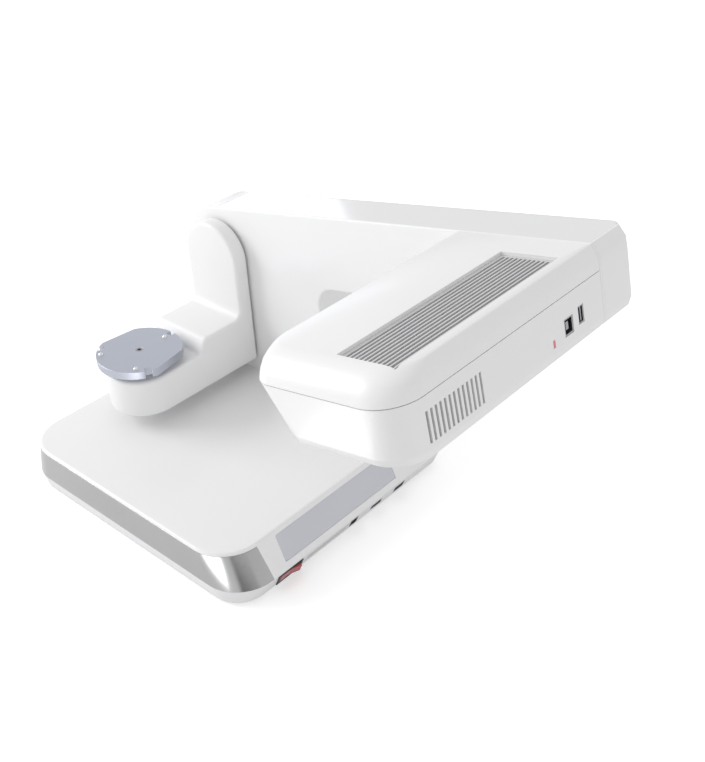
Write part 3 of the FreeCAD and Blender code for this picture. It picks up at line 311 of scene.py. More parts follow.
# slot: colour or the name of a user colour, shade of its darker clouds, roughness, metallic,
# pattern stretch (1/m), bump, coat
FINISHES = {
    "white_shell": ("shell", 0.97, 0.36, 0.0, (2600, 2600, 2600), 0.012, 0.12),
    "white_arm": ("shell", 0.97, 0.40, 0.0, (2600, 2600, 2600), 0.012, 0.08),
    "white_tray": ("tray", 0.96, 0.50, 0.0, (1800, 1800, 1800), 0.03, 0.0),
    "silver_trim": ("band", 0.93, 0.20, 1.0, (60, 60, 5200), 0.012, 0.0),
    "grey_panel": ("panel", 0.95, 0.14, 0.0, (40, 40, 40), 0.004, 0.8),
    "silver_strip": ("strip", 0.97, 0.16, 0.0, (40, 40, 40), 0.003, 0.7),
    "steel_plate": ((0.52, 0.53, 0.55), 0.85, 0.42, 1.0, (80, 2400, 2400), 0.03, 0.0),
    "rubber": ((0.035, 0.035, 0.036), 0.7, 0.85, 0.0, (1500, 1500, 1500), 0.08, 0.0),
    "screws": ((0.46, 0.46, 0.48), 0.8, 0.35, 1.0, (2400, 2400, 200), 0.03, 0.0),
    "circuit": ((0.03, 0.14, 0.07), 0.6, 0.45, 0.0, (500, 500, 500), 0.05, 0.3),
    "dark_mesh": ((0.06, 0.06, 0.065), 0.5, 0.6, 0.3, (1800, 1800, 1800), 0.10, 0.0),
    "black_plastic": ((0.018, 0.018, 0.02), 0.7, 0.42, 0.0, (1800, 1800, 1800), 0.04, 0.0),
    "red_rocker": ("rocker", 0.85, 0.30, 0.0, (900, 900, 900), 0.01, 0.3),
    "port_metal": ((0.50, 0.50, 0.52), 0.85, 0.28, 1.0, (2600, 200, 200), 0.02, 0.0),
    # The grille's ribs are near-white plastic; their darker grey is partly painted shade, standing in for
    # the shade inside the recessed, slotted grille.
    "grille": ((0.64, 0.64, 0.65), 0.96, 0.42, 0.0, (2600, 2600, 2600), 0.012, 0.0),
    "dark_glass": ((0.02, 0.02, 0.026), 0.8, 0.06, 0.0, (60, 60, 60), 0.002, 1.0),
    "lens_glass": ((0.05, 0.05, 0.09), 0.7, 0.04, 0.0, (60, 60, 60), 0.002, 1.0),
    "black_metal": ((0.04, 0.04, 0.045), 0.7, 0.38, 0.8, (1400, 1400, 1400), 0.03, 0.0),
    "alu_bench": ((0.60, 0.61, 0.63), 0.9, 0.36, 1.0, (80, 2600, 2600), 0.02, 0.0),
    "led": ("lamp", 0.8, 0.3, 0.0, (1200, 1200, 1200), 0.01, 0.3),
    "alu_table": ("table", 0.93, 0.33, 1.0, (3200, 3200, 400), 0.012, 0.0),
    "steel_ball": ((0.80, 0.80, 0.82), 0.95, 0.06, 1.0, (200, 200, 200), 0.002, 0.0),
    "motor": ((0.10, 0.10, 0.11), 0.75, 0.45, 0.6, (1400, 1400, 1400), 0.04, 0.0),
    "bronze": ((0.45, 0.27, 0.11), 0.85, 0.34, 1.0, (1200, 1200, 1200), 0.03, 0.0),
    "gear_steel": ((0.42, 0.43, 0.45), 0.85, 0.34, 1.0, (400, 2600, 400), 0.03, 0.0),
}
CLOUD_SCALE = 14.0
GRAIN_DEPTH = 0.00012
COAT_ROUGHNESS = 0.08
LAMP_GLOW = 0.25
MADE = {}


def finish_of(slot):
    """The procedural material of one finish: soft colour clouds, a fine grain and its relief."""
    if slot in MADE:
        return MADE[slot]
    base, shade, roughness, metallic, stretch, relief, coat = FINISHES[slot]
    if isinstance(base, str):
        base = tuple(getattr(bpy.context.scene.scanner_colours, base))
    material = bpy.data.materials.new(slot)
    material.use_nodes = True
    nodes = material.node_tree.nodes
    links = material.node_tree.links
    shader = nodes["Principled BSDF"]
    place = nodes.new("ShaderNodeTexCoord")
    clouds = nodes.new("ShaderNodeTexNoise")
    clouds.inputs["Scale"].default_value = CLOUD_SCALE
    clouds.inputs["Detail"].default_value = 3.0
    spread = nodes.new("ShaderNodeMapping")
    spread.inputs["Scale"].default_value = stretch
    grain = nodes.new("ShaderNodeTexNoise")
    grain.inputs["Scale"].default_value = 1.0
    grain.inputs["Detail"].default_value = 2.0
    tint = nodes.new("ShaderNodeMix")
    tint.data_type = "RGBA"
    tint.inputs["A"].default_value = (*base, 1.0)
    tint.inputs["B"].default_value = (*[part * shade for part in base], 1.0)
    speckle = nodes.new("ShaderNodeMath")
    speckle.operation = "MULTIPLY_ADD"
    speckle.inputs[1].default_value = 0.5
    gloss = nodes.new("ShaderNodeMapRange")
    gloss.inputs["To Min"].default_value = roughness * 0.9
    gloss.inputs["To Max"].default_value = min(1.0, roughness * 1.12)
    bump = nodes.new("ShaderNodeBump")
    bump.inputs["Strength"].default_value = min(1.0, relief * 8)
    bump.inputs["Distance"].default_value = GRAIN_DEPTH
    links.new(place.outputs["Object"], clouds.inputs["Vector"])
    links.new(place.outputs["Object"], spread.inputs["Vector"])
    links.new(spread.outputs["Vector"], grain.inputs["Vector"])
    links.new(grain.outputs["Fac"], speckle.inputs[0])
    links.new(clouds.outputs["Fac"], speckle.inputs[2])
    links.new(speckle.outputs["Value"], tint.inputs["Factor"])
    links.new(tint.outputs["Result"], shader.inputs["Base Color"])
    links.new(clouds.outputs["Fac"], gloss.inputs["Value"])
    links.new(gloss.outputs["Result"], shader.inputs["Roughness"])
    links.new(grain.outputs["Fac"], bump.inputs["Height"])
    links.new(bump.outputs["Normal"], shader.inputs["Normal"])
    shader.inputs["Metallic"].default_value = metallic
    shader.inputs["Coat Weight"].default_value = coat
    shader.inputs["Coat Roughness"].default_value = COAT_ROUGHNESS
    if slot == "led":
        shader.inputs["Emission Color"].default_value = (*base, 1.0)
        shader.inputs["Emission Strength"].default_value = LAMP_GLOW
    MADE[slot] = material
    return material


# --- base ---
BASE_LEFT = -120.5
BASE_RIGHT = 126.0
BASE_FRONT = -128.9
BASE_R = 33.0
BASE_REAR_R = 10.0
# How far the base stands out from its top's outline, on the left, right and front: at the
# band's lower edge, and at the tray's floor.
FLARE = (7.0, 12.0, 0.4)
TRAY_OUT = (0.0, 6.0, -2.6)
TRAY_R = 24.0
BAND_T = 1.2
BAND_END_Y = -93.0
BAND_END_SLANT = math.radians(6.0)
GLASS_T = 2.0
# The panel's window as (y0, y1, z0, z1).
GLASS = (-80.0, 46.0, 21.4, 42.4)
GLASS_CHAMFER = 9.0
PORT_Z = 9.6
# First and last vent slot's y and their count; half width and half height; lean.
VENTS = (-57.4, -14.2, 15)
VENT_HALF = (0.8, 3.6)
VENT_LEAN = math.radians(-25)
# Rocker, jack and two sockets: half width, half height, y.
PORTS = ((12.1, 5.5, -77.0), (4.5, 4.5, -5.0), (6.6, 3.4, 21.8), (6.6, 4.2, 50.3))
FEET = ((-95.0, -95.0), (95.0, -95.0), (-95.0, 80.0), (95.0, 80.0))
FOOT_SEAT_R = 9.2
BASE_SCREWS = ((-112.0, -70.0), (-112.0, 60.0), (30.0, -112.0), (-40.0, -112.0), (-30.0, 92.0),
               (40.0, 92.0))
SCREW_SEAT_R = 3.0


def base_level(out, inset, z, radius=BASE_R):
    """The base's outline at a height: what it stands out on three sides, and an inset."""
    front = max(0.5, radius - inset)
    rear = max(0.5, BASE_REAR_R - max(0.0, inset))
    return (BASE_LEFT - out[0] + inset, BASE_RIGHT + out[1] - inset, BASE_FRONT - out[2] + inset,
            REAR_Y - max(0.0, inset), z, (front, front, rear, rear))


LEVEL = (0.0, 0.0, 0.0)


def flare_at(z):
    edge = mm(sizes().rolled_edge)
    share = (TOP_Z - edge - z) / (TOP_Z - edge - BAND_Z)
    return tuple(side * share for side in FLARE)


def wall_form(inset, z0, z1):
    return tower([base_level(flare_at(z0), inset, z0), base_level(flare_at(z1), inset, z1)])


def base_cover_form():
    edge = mm(sizes().rolled_edge)
    levels = [base_level(FLARE, 0.0, BAND_Z), base_level(LEVEL, 0.0, TOP_Z - edge)]
    steps = 6
    for i in range(1, steps + 1):
        a = math.pi / 2 * i / steps
        roll = edge * (1 - math.cos(a))
        levels.append(base_level(LEVEL, roll, TOP_Z - edge + edge * math.sin(a)))
    return tower(levels)


def band_form(gap):
    """The band's solid: the sloping wall's outer skin, round the front and the left."""
    edge = mm(sizes().rolled_edge)
    band = solid("base_trim_band_polished", wall_form(-0.02, BAND_Z + gap, TOP_Z - edge - gap))
    carve(band, wall_form(BAND_T, BAND_Z - 5, TOP_Z))
    cut_band_ends(band, gap)
    return band


def cut_band_ends(piece, gap):
    """Ends the band at a slanting line on the right and before the rear corners."""
    end = Matrix.Translation((BASE_RIGHT, BAND_END_Y + gap, 0))
    slant = end @ Matrix.Rotation(BAND_END_SLANT, 4, "X")
    carve(piece, blocks([(-20, 40, 0, 300, -20, 80)], slant))
    carve(piece, blocks([(-200, 200, REAR_Y - BASE_REAR_R + gap, REAR_Y + 20, -20, 80)]))


def glass_window(gap):
    y0, y1, z0, z1 = GLASS
    y0, y1, z0, z1 = y0 + gap, y1 - gap, z0 + gap, z1 - gap
    points = [(100, y0, z0), (100, y1, z0), (100, y1, z1 - GLASS_CHAMFER), (100, y1 - GLASS_CHAMFER, z1),
              (100, y0, z1)]
    return prism(points, (60, 0, 0), rounds=((0, 1.5), (4, 1.5)))


def port_place(y):
    run = FLARE[1] - TRAY_OUT[1]
    slope = math.atan2(run, BAND_Z - FOOT_H)
    x = BASE_RIGHT + TRAY_OUT[1] + run * (PORT_Z - FOOT_H) / (BAND_Z - FOOT_H)
    return Matrix.Translation((x, y, PORT_Z)) @ Matrix.Rotation(slope, 4, "Y")


def make_base():
    gap = mm(sizes().panel_gap)
    wall = mm(sizes().shell_wall)
    edge = mm(sizes().rolled_edge)
    cover = solid("base_cover_shell", base_cover_form())
    deep = GLASS_T + wall
    hollow = tower([base_level(FLARE, deep, BAND_Z - 5), base_level(LEVEL, deep, TOP_Z - 2 * edge),
                    base_level(LEVEL, deep, TOP_Z - wall)])
    carve(cover, hollow)
    band = band_form(gap)
    recess = solid("recess", wall_form(-3.0, BAND_Z - 1.0, TOP_Z - edge))
    carve(recess, wall_form(BAND_T + 0.02, BAND_Z - 5, TOP_Z))
    cut_band_ends(recess, 0.0)
    carve_with(cover, recess)
    panel = solid("base_glass_panel_gloss", wall_form(0.35, BAND_Z - 1, TOP_Z - edge))
    carve(panel, wall_form(GLASS_T, BAND_Z - 5, TOP_Z))
    carve(panel, glass_window(gap), operation="INTERSECT")
    seat = solid("seat", wall_form(-3.0, BAND_Z - 1, TOP_Z - edge))
    carve(seat, wall_form(GLASS_T + 0.02, BAND_Z - 5, TOP_Z))
    carve(seat, glass_window(0.0), operation="INTERSECT")
    carve_with(cover, seat)
    finish_piece(cover, "base", "white_shell", ["base_top_cover"], edge=0.12)
    finish_piece(band, "base", "silver_trim", ["base_trim_band"], edge=0.12)
    finish_piece(panel, "base", "grey_panel", ["base_glass_panel"], edge=0.2)


def carve_with(piece, tool):
    """Cuts an object that is used up by it."""
    bm = bmesh.new()
    bm.from_mesh(tool.data)
    spent = tool.data
    bpy.data.objects.remove(tool)
    bpy.data.meshes.remove(spent)
    carve(piece, bm)


def tray_level(share, inset, z):
    """The tray's outline at a share of its rise from the floor to the band."""
    out = tuple(low + (high - low) * share for low, high in zip(TRAY_OUT, FLARE))
    return base_level(out, inset, z, TRAY_R + (BASE_R - TRAY_R) * share)


def make_tray():
    wall = mm(sizes().shell_wall)
    levels = [tray_level(0.0, 1.2, FOOT_H), tray_level(0.04, 0.3, FOOT_H + 0.5),
              tray_level(0.13, 0.0, FOOT_H + 1.7), tray_level(0.93, 0.0, BAND_Z - 1.0),
              tray_level(1.0, 0.25, BAND_Z - 0.05)]
    tray = solid("base_tray_shell", tower(levels))
    carve(tray, tower([tray_level(0.0, wall, FOOT_H + wall), tray_level(1.0, wall, BAND_Z + 1)]))
    for x, y in FEET:
        carve(tray, rods([(FOOT_SEAT_R, (x, y, FOOT_H - 2), (x, y, FOOT_H + 1.2))]))
    holes = []
    for x, y in BASE_SCREWS:
        holes.append((SCREW_SEAT_R, (x, y, FOOT_H - 2), (x, y, FOOT_H + 2.0)))
    carve(tray, rods(holes, 24))
    first, last, count = VENTS
    slope = Matrix.Rotation(VENT_LEAN, 4, "X")
    half_y, half_z = VENT_HALF
    for i in range(count):
        y = first + (last - first) * i / (count - 1)
        carve(tray, blocks([(-6, 3, -half_y, half_y, -half_z, half_z)], port_place(y) @ slope))
    for half_y, half_z, y in PORTS:
        carve(tray, blocks([(-8, 3, -half_y, half_y, -half_z, half_z)], port_place(y)))
    finish_piece(tray, "base", "white_tray", ["base_lower_tray"], edge=0.1)


# --- upright ---
COL_Y = 66.0
COL_LEFT = -76.5
COL_CORNER = 34.0
COL_FOOT_RIGHT = 67.0
COL_ARCH = 20.0
BEAM_LOW = 141.5
BEAM_STEP = (200.0, 240.0)
CAP_X = 300.0
CAP_R = 8.5
STRIP_T = 1.5
# The strip's left and right ends, and how far it stays from the front and the rear.
STRIP = (-34.0, 325.0, 1.8, 0.6)
STRIP_R = 8.0
HEAD_RIGHT = 331.3
HEAD_LEFT = 219.5
HEAD_TOP = 202.9
HEAD_BOTTOM = 148.4
HEAD_FRONT = COL_Y - 199.3
WAIST_N = HEAD_BOTTOM + 5.6
# How far the right end draws in at the top, the brow and the foot.
CROWN_RIGHT = 5.0
BROW_RIGHT = 0.5
FOOT_RIGHT = 2.2
BROW_N = 195.5
SHAFT_HOLE_R = 17.0
# First rear vent, pitch, half width and count.
REAR_VENTS = (70.0, 7.0, 1.5, 16)
PART_LINE = 0.06
COVER_SCREWS = ((-40.0, 60.0), (-40.0, 185.0), (40.0, 50.0), (60.0, 188.0), (200.0, 188.0),
                (285.0, 190.0))


def upright_form(inset, y0, y1):
    left = COL_LEFT + inset
    right = HEAD_RIGHT - inset
    top = HEAD_TOP - inset
    under = HEAD_BOTTOM + inset
    beam = BEAM_LOW + inset
    foot = COL_FOOT_RIGHT - inset
    points = [(left, y0, 0.0), (left, y0, top), (right - CROWN_RIGHT, y0, top),
              (right - BROW_RIGHT, y0, BROW_N), (right, y0, SEAM),
              (right, y0, max(WAIST_N, under + 0.5)), (right - FOOT_RIGHT, y0, under),
              (BEAM_STEP[1], y0, under), (BEAM_STEP[0], y0, beam), (foot, y0, beam), (foot, y0, 0.0)]
    bm = prism(points, (0, y1 - y0, 0), rounds=((1, COL_CORNER - inset), (9, COL_ARCH + inset)))
    rear = [edge for edge in bm.edges
            if all(abs(v.co.x - right) < 6.5 and abs(v.co.z - 175) < 29 for v in edge.verts)
            and abs(edge.verts[0].co.y - y1) < 0.01 and abs(edge.verts[1].co.y - y1) < 0.01]
    round_edges(bm, rear, CAP_R - inset, 10)
    return bm


def upright_outer():
    bm = upright_form(0.0, COL_Y, REAR_Y)
    front = [edge for edge in bm.edges if all(abs(v.co.y - COL_Y) < 0.01 for v in edge.verts)]
    round_edges(bm, front, mm(sizes().upright_edge), 5)
    rear = [edge for edge in bm.edges if all(abs(v.co.y - REAR_Y) < 0.01 for v in edge.verts)]
    round_edges(bm, rear, 0.5, 2)
    return bm


def strip_form(gap, low, high):
    """The strip's outline: straight on the left, its rear right corner rounded."""
    left = STRIP[0] + gap
    right = STRIP[1] - gap
    y0 = COL_Y + STRIP[2] + gap
    y1 = REAR_Y - STRIP[3] - gap
    return tower([(left, right, y0, y1, n, (0.6, 0.6, STRIP_R, 0.6)) for n in (low, high)])


def make_upright():
    wall = mm(sizes().shell_wall)
    whole = solid("upright_whole", upright_outer())
    carve(whole, upright_form(wall + 0.3, COL_Y + wall, REAR_Y - wall))
    carve(whole, strip_form(0.0, HEAD_TOP - STRIP_T, HEAD_TOP + 3))
    lean(whole)
    carve(whole, blocks([(-EVERYWHERE, EVERYWHERE, -EVERYWHERE, EVERYWHERE, -300, TOP_Z)]))
    front_zone = [(-EVERYWHERE, EVERYWHERE, -EVERYWHERE, COL_Y + wall, -100, 600)]
    rear_zone = [(-EVERYWHERE, CAP_X - PART_LINE, COL_Y + wall + 0.1, 400, -100, 600)]
    cap_zone = [(CAP_X + PART_LINE, EVERYWHERE, COL_Y + wall + 0.1, 400, -100, 600)]
    front = twin(whole, "upright_front_cover")
    carve(front, blocks(front_zone), operation="INTERSECT")
    pivot = SWING - MIDDLE
    carve(front, rods([(SHAFT_HOLE_R, (pivot.x, COL_Y - 5, pivot.z), (pivot.x, COL_Y + 8, pivot.z))], 64))
    passage = [(HEAD_LEFT + 22, CAP_X - 20, COL_Y - 1, COL_Y + wall + 1, HEAD_BOTTOM + 10, HEAD_TOP - 14)]
    carve(front, blocks(passage), LEAN)
    rear = twin(whole, "upright_rear_cover")
    carve(rear, blocks(rear_zone), LEAN, operation="INTERSECT")
    vents = []
    first, pitch, half, count = REAR_VENTS
    for i in range(count):
        c = first + i * pitch
        vents.append((c - half, c + half, REAR_Y - wall - 1, REAR_Y + 1, BEAM_LOW + 10, HEAD_TOP - 18))
    carve(rear, blocks(vents), LEAN)
    seats = [(SCREW_SEAT_R, (c, REAR_Y - 1.2, n), (c, REAR_Y + 2, n)) for c, n in COVER_SCREWS]
    carve(rear, rods(seats, 24), LEAN)
    cap = whole
    cap.name = "upright_end_cap"
    carve(cap, blocks(cap_zone), LEAN, operation="INTERSECT")
    strip = solid("upright_gloss_strip", strip_form(0.12, HEAD_TOP - STRIP_T, HEAD_TOP - 0.15), LEAN)
    finish_piece(front, "base", "white_shell", ["column_front_cover"], edge=0.0)
    finish_piece(rear, "base", "white_shell", ["column_rear_cover"], edge=0.0)
    finish_piece(cap, "base", "white_shell", ["column_end_cap"], edge=0.0)
    finish_piece(strip, "base", "silver_strip", ["column_top_strip"], edge=0.25)


# --- head ---
SEAM = 186.0
# Radius of the head's near left and near right corner.
HEAD_R = (18.0, 25.0)
HEAD_WALL = 2.2
WAIST_LEFT = 15.2
GRILLE = (277.0, 319.5, HEAD_FRONT + 20.3, COL_Y - 25.0)
GRILLE_SLOTS = 12
GRILLE_LEFT_RIM = 3.2
GRILLE_RIGHT_RIM = 1.0
GRILLE_SLOT_SHARE = 0.62
GRILLE_DROP = 2.2
GRILLE_DEEP = 1.4
SIDE_SLOTS = (HEAD_FRONT + 25.0, HEAD_FRONT + 72.0, 13)
SIDE_SLOT_N = (157.5, 177.0)
SIDE_SLOT_HALF = 0.95
PORT_GAP = 0.2
HEAD_HOLES = ((22.6, 32.0, 159.8, 171.2), (38.2, 44.1, 161.5, 173.0), (9.5, 11.5, 158.4, 163.2))
WINDOW = (HEAD_FRONT + 34.3, COL_Y - 40.0, 163.0, 182.0)
# How far left side, near end and right side draw in, and at what height.
LOWER_ROWS = ((16.5, 5.0, 2.2, HEAD_BOTTOM, 2.0), (15.5, 2.5, 0.35, WAIST_N - 0.8, 0.4),
              (14.9, 1.95, 0.0, WAIST_N + 0.5, 0.0))
TOP_ROWS = ((0.1, 0.55, 0.0, SEAM + 2.0), (0.4, 2.0, 0.15, SEAM + 5.5), (1.0, 5.2, 0.6, SEAM + 9.8),
            (1.7, 8.1, 1.7, SEAM + 12.2), (2.5, 11.5, 2.9, SEAM + 14.3), (3.3, 14.4, 3.9, SEAM + 15.7),
            (3.9, 16.5, 4.5, SEAM + 16.45), (4.8, 18.4, 5.4, SEAM + 16.9))


def head_level(draw_in, inset, n, smaller=0.0, rear_in=0.0):
    left, near, right = draw_in
    radii = (HEAD_R[0] - inset - smaller, HEAD_R[1] - inset - smaller, 0.4, 0.4)
    return (HEAD_LEFT + left + inset, HEAD_RIGHT - right - inset, HEAD_FRONT + near + inset,
            COL_Y - rear_in, n, radii)


def lower_levels(inset, top):
    levels = []
    for left, near, right, n, smaller in LOWER_ROWS:
        rise = inset if n == HEAD_BOTTOM else 0.0
        levels.append(head_level((left, near, right), inset, n + rise, smaller, inset))
    levels.append(head_level((0.0, 0.0, 0.0), inset, top, 0.0, inset))
    return levels


def top_levels(inset, bottom):
    """From the seam the sides rise straight, then draw in; the near end slopes back in a soft curve."""
    levels = [head_level((0.0, 0.0, 0.0), inset, bottom, 0.0, inset * 0.5)]
    for left, near, right, n in TOP_ROWS:
        drop = inset if n > SEAM + 8 else 0.0
        levels.append(head_level((left, near, right), inset, n - drop, min(2.0, left * 0.5), inset * 0.5))
    return levels


def grille_zone(grow, n0, n1):
    x0, x1, y0, y1 = GRILLE
    return (x0 - grow, x1 + grow, y0 - grow, y1 + grow, n0, n1)


def window_cut():
    """What opens the slanting left wall in front of the cameras."""
    y0, y1, n0, n1 = WINDOW
    lower = HEAD_LEFT + WAIST_LEFT * (SEAM - n0) / (SEAM - WAIST_N)
    upper = HEAD_LEFT + WAIST_LEFT * (SEAM - n1) / (SEAM - WAIST_N)
    points = [(lower - 2, y0, n0), (lower + 5, y0, n0), (upper + 5, y0, n1), (upper - 2, y0, n1)]
    return prism(points, (0, y1 - y0, 0))


def grille_slots():
    x0, x1, y0, y1 = GRILLE
    pitch = (x1 - x0 - GRILLE_LEFT_RIM - GRILLE_RIGHT_RIM) / (GRILLE_SLOTS - 1 + GRILLE_SLOT_SHARE)
    cuts = []
    for i in range(GRILLE_SLOTS):
        x = x0 + GRILLE_LEFT_RIM + i * pitch
        cuts.append((x, x + pitch * GRILLE_SLOT_SHARE, y0 + 0.8, y1 - 2.5, SEAM, HEAD_TOP + 5))
    return blocks(cuts)


def make_head():
    seam = mm(sizes().head_seam)
    lower = solid("head_lower_cover", tower(lower_levels(0.0, SEAM - seam / 2)))
    carve(lower, tower(lower_levels(HEAD_WALL, SEAM + 4)))
    first, last, count = SIDE_SLOTS
    slots = []
    for i in range(count):
        y = first + (last - first) * i / (count - 1)
        slots.append((HEAD_RIGHT - 8, HEAD_RIGHT + 2, y - SIDE_SLOT_HALF, y + SIDE_SLOT_HALF,
                      *SIDE_SLOT_N))
    for y0, y1, n0, n1 in HEAD_HOLES:
        slots.append((HEAD_RIGHT - 14, HEAD_RIGHT + 2, y0 - PORT_GAP, y1 + PORT_GAP,
                      n0 - PORT_GAP, n1 + PORT_GAP))
    carve(lower, blocks(slots))
    carve(lower, window_cut())
    top = solid("head_upper_cover", tower(top_levels(0.0, SEAM + seam / 2)))
    carve(top, tower(top_levels(HEAD_WALL, SEAM - 4)))
    carve(top, blocks([grille_zone(0.0, SEAM, HEAD_TOP + 5)]))
    grille = solid("head_grille_ribs", tower(top_levels(GRILLE_DROP, SEAM)))
    carve(grille, tower(top_levels(GRILLE_DROP + GRILLE_DEEP, SEAM - 4)))
    carve(grille, blocks([grille_zone(-0.05, SEAM + 1, HEAD_TOP + 5)]), operation="INTERSECT")
    carve(grille, grille_slots())
    for piece in (lower, top, grille):
        lean(piece)
    finish_piece(lower, "base", "white_shell", ["head_lower_shell"], edge=0.15)
    finish_piece(top, "base", "white_shell", ["head_top_cover"], edge=0.15)
    finish_piece(grille, "base", "grille", ["head_grille"], edge=0.1)


# --- swinging arm ---
PLATE_T = 14.2
DECK_Z = 107.1
DECK_Y = 9.0
SEAT_Z = 94.0
NECK_Y = 1.5
DECK_EDGE_R = 3.0
NECK_R = 2.0
BEARING_R = 12.0
SHAFT_R = 8.0


def arm_form(inset, fillet, edge):
    """Plate, deck, neck and seat drawn from the side and pushed across the arm's width."""
    half = (ARM[1].x - ARM[0].x) / 2 - inset
    middle = SWING.x - MIDDLE.x
    rear = ARM[1].y - MIDDLE.y - inset
    floor = ARM[0].z + inset
    nose = SPIN.y - MIDDLE.y - half
    plate = ARM[1].y - MIDDLE.y - PLATE_T + inset
    top = SWING.z + half
    profile = [(rear, floor), (rear, top), (plate, top), (plate, DECK_Z - inset), (DECK_Y, DECK_Z - inset),
               (NECK_Y, SEAT_Z - inset), (nose, SEAT_Z - inset), (nose, floor)]
    points = [(middle - half, y, z) for y, z in profile]
    bm = prism(points, (2 * half, 0, 0))
    ends = [e for e in bm.edges if is_corner(e, "y", top) or is_corner(e, "z", nose)]
    bmesh.ops.bevel(bm, geom=ends, offset=half - 0.01, segments=22, profile=0.5, affect="EDGES",
                    clamp_overlap=False, material=-1)
    bmesh.ops.remove_doubles(bm, verts=bm.verts, dist=0.03)
    inner = [e for e in bm.edges if lies_across(e, plate, DECK_Z - inset)]
    round_edges(bm, inner, fillet, 8)
    soft = [e for e in bm.edges if lies_across(e, DECK_Y, DECK_Z - inset)]
    round_edges(bm, soft, DECK_EDGE_R, 4)
    hollow = [e for e in bm.edges if lies_across(e, NECK_Y, SEAT_Z - inset)]
    round_edges(bm, hollow, NECK_R, 3)
    if edge > 0:
        bmesh.ops.dissolve_limit(bm, angle_limit=math.radians(0.1), verts=bm.verts, edges=bm.edges)
        rim = [e for e in bm.edges if len(e.link_faces) == 2 and e.calc_face_angle(0) > math.radians(50)]
        round_edges(bm, rim, edge, 4)
    bmesh.ops.recalc_face_normals(bm, faces=bm.faces)
    return bm


def is_corner(edge, axis, level):
    """A long edge along Y at the plate's top, or along Z at the nose's front."""
    a, b = edge.verts[0].co, edge.verts[1].co
    if axis == "y":
        return abs(a.z - level) < 0.01 and abs(b.z - level) < 0.01 and abs(a.x - b.x) < 0.01
    return abs(a.y - level) < 0.01 and abs(b.y - level) < 0.01 and abs(a.x - b.x) < 0.01


def lies_across(edge, y, z):
    return all(abs(v.co.y - y) < 0.01 and abs(v.co.z - z) < 0.01 for v in edge.verts)


def make_arm():
    wall = mm(sizes().shell_wall)
    arm = solid("arm_cover", arm_form(0.0, mm(sizes().arm_fillet), mm(sizes().arm_edge)))
    carve(arm, arm_form(wall + 0.6, mm(sizes().arm_fillet) + wall, 0.0))
    axis = SPIN - MIDDLE
    pivot = SWING - MIDDLE
    rear = ARM[1].y - MIDDLE.y
    floor_lo, floor_hi = [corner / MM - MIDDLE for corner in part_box("arm_floor")]
    half = (floor_hi.x - floor_lo.x) / 2 + 0.2
    radii = (half - 0.1, half - 0.1, 0.5, 0.5)
    opening = tower([(axis.x - half, axis.x + half, axis.y - half, floor_hi.y + 0.2, z, radii)
                     for z in (ARM[0].z - 3, ARM[0].z + wall + 2)])
    carve(arm, opening)
    carve(arm, rods([(BEARING_R, (axis.x, axis.y, SEAT_Z - 12), (axis.x, axis.y, SEAT_Z + 5))]))
    carve(arm, rods([(SHAFT_R, (pivot.x, rear - 10, pivot.z), (pivot.x, rear + 5, pivot.z))]))
    finish_piece(arm, "arm", "white_arm", ["arm_shell"], edge=0.0)


# Each ball's angle in degrees and its distance from the turntable's axis.
BALLS = ((88.0, 26.3), (232.0, 31.4), (316.0, 29.8))


def make_turntable():
    refined_copy("turntable_plate", 0.5, "turntable_disc")
    balls = bmesh.new()
    lo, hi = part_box("locating_balls")
    radius = (hi.z - lo.z) / 2
    centre = SPIN * MM
    for angle, distance in BALLS:
        a = math.radians(angle)
        reach = distance * MM
        x = centre.x + reach * math.cos(a)
        y = centre.y + reach * math.sin(a)
        place = Matrix.Translation((x, y, hi.z - radius))
        bmesh.ops.create_icosphere(balls, subdivisions=4, radius=radius, matrix=place)
    piece = solid("turntable_balls", balls)
    smooth(piece, 0.0, 60.0)
    attach(piece, "turntable", "steel_ball", ["locating_balls"])


def make_ports():
    for node, edge in (("power_switch_bezel", 0.3), ("power_rocker", 0.35), ("power_jack", 0.15),
                       ("base_usb_port", 0.1), ("base_sync_port", 0.1), ("head_usb_b_port", 0.12),
                       ("head_usb_a_port", 0.1), ("status_led", 0.15), ("rubber_feet", 0.5),
                       ("arm_floor", 0.3), ("column_screws", 0.15), ("head_screws", 0.15)):
        refined_copy(node, edge)


def dress_inside():
    """Every CAD node that still shows takes its procedural finish."""
    for node, piece in frame["nodes"].items():
        if piece.hide_render:
            continue
        piece.data.materials.clear()
        piece.data.materials.append(finish_of(SLOT_OF[node]))


# --- stage ---
CAMERA_AT = PLACE @ Vector((575.9, -463.75, 560.1))
CAMERA_AZIMUTH = 43.41
CAMERA_ELEVATION = 33.36
CAMERA_ROLL = -3.18
CAMERA_LENS = 50.27
FLOOR_GLOW = 0.36
FLOOR_BOUNCE = 0.78
BOUNCE_GLOW = 0.2
WORLD_LIGHT = 0.78
KEY_WATTS = 30.0
KEY_AT = (-1.9, -1.1, 1.25)
KEY_AIM = (0.0, 0.0, 0.08)
KEY_SIZE = (1.4, 1.4)
# A card that the left part of the upright's strip mirrors, as (y, z).
LILAC_X = -1600.0
LILAC_TINT = (0.88, 0.91, 1.0)
LILAC_GLOW = 1.3
LILAC_CARD = ((700.0, 200.0), (1440.0, 250.0), (1560.0, 450.0), (1600.0, 640.0), (700.0, 640.0))
# Floor cards round the base's front right corner: two directions, tone, glow.
CORNER_CARDS = (("corner_bright", (-0.24, -0.95), (0.45, -0.88), 1.0, 2.7),
                ("corner_dark", (0.72, -0.69), (0.98, -0.12), 0.14, 0.0))
CARD_NEAR = 0.1
CARD_FAR = 1.0


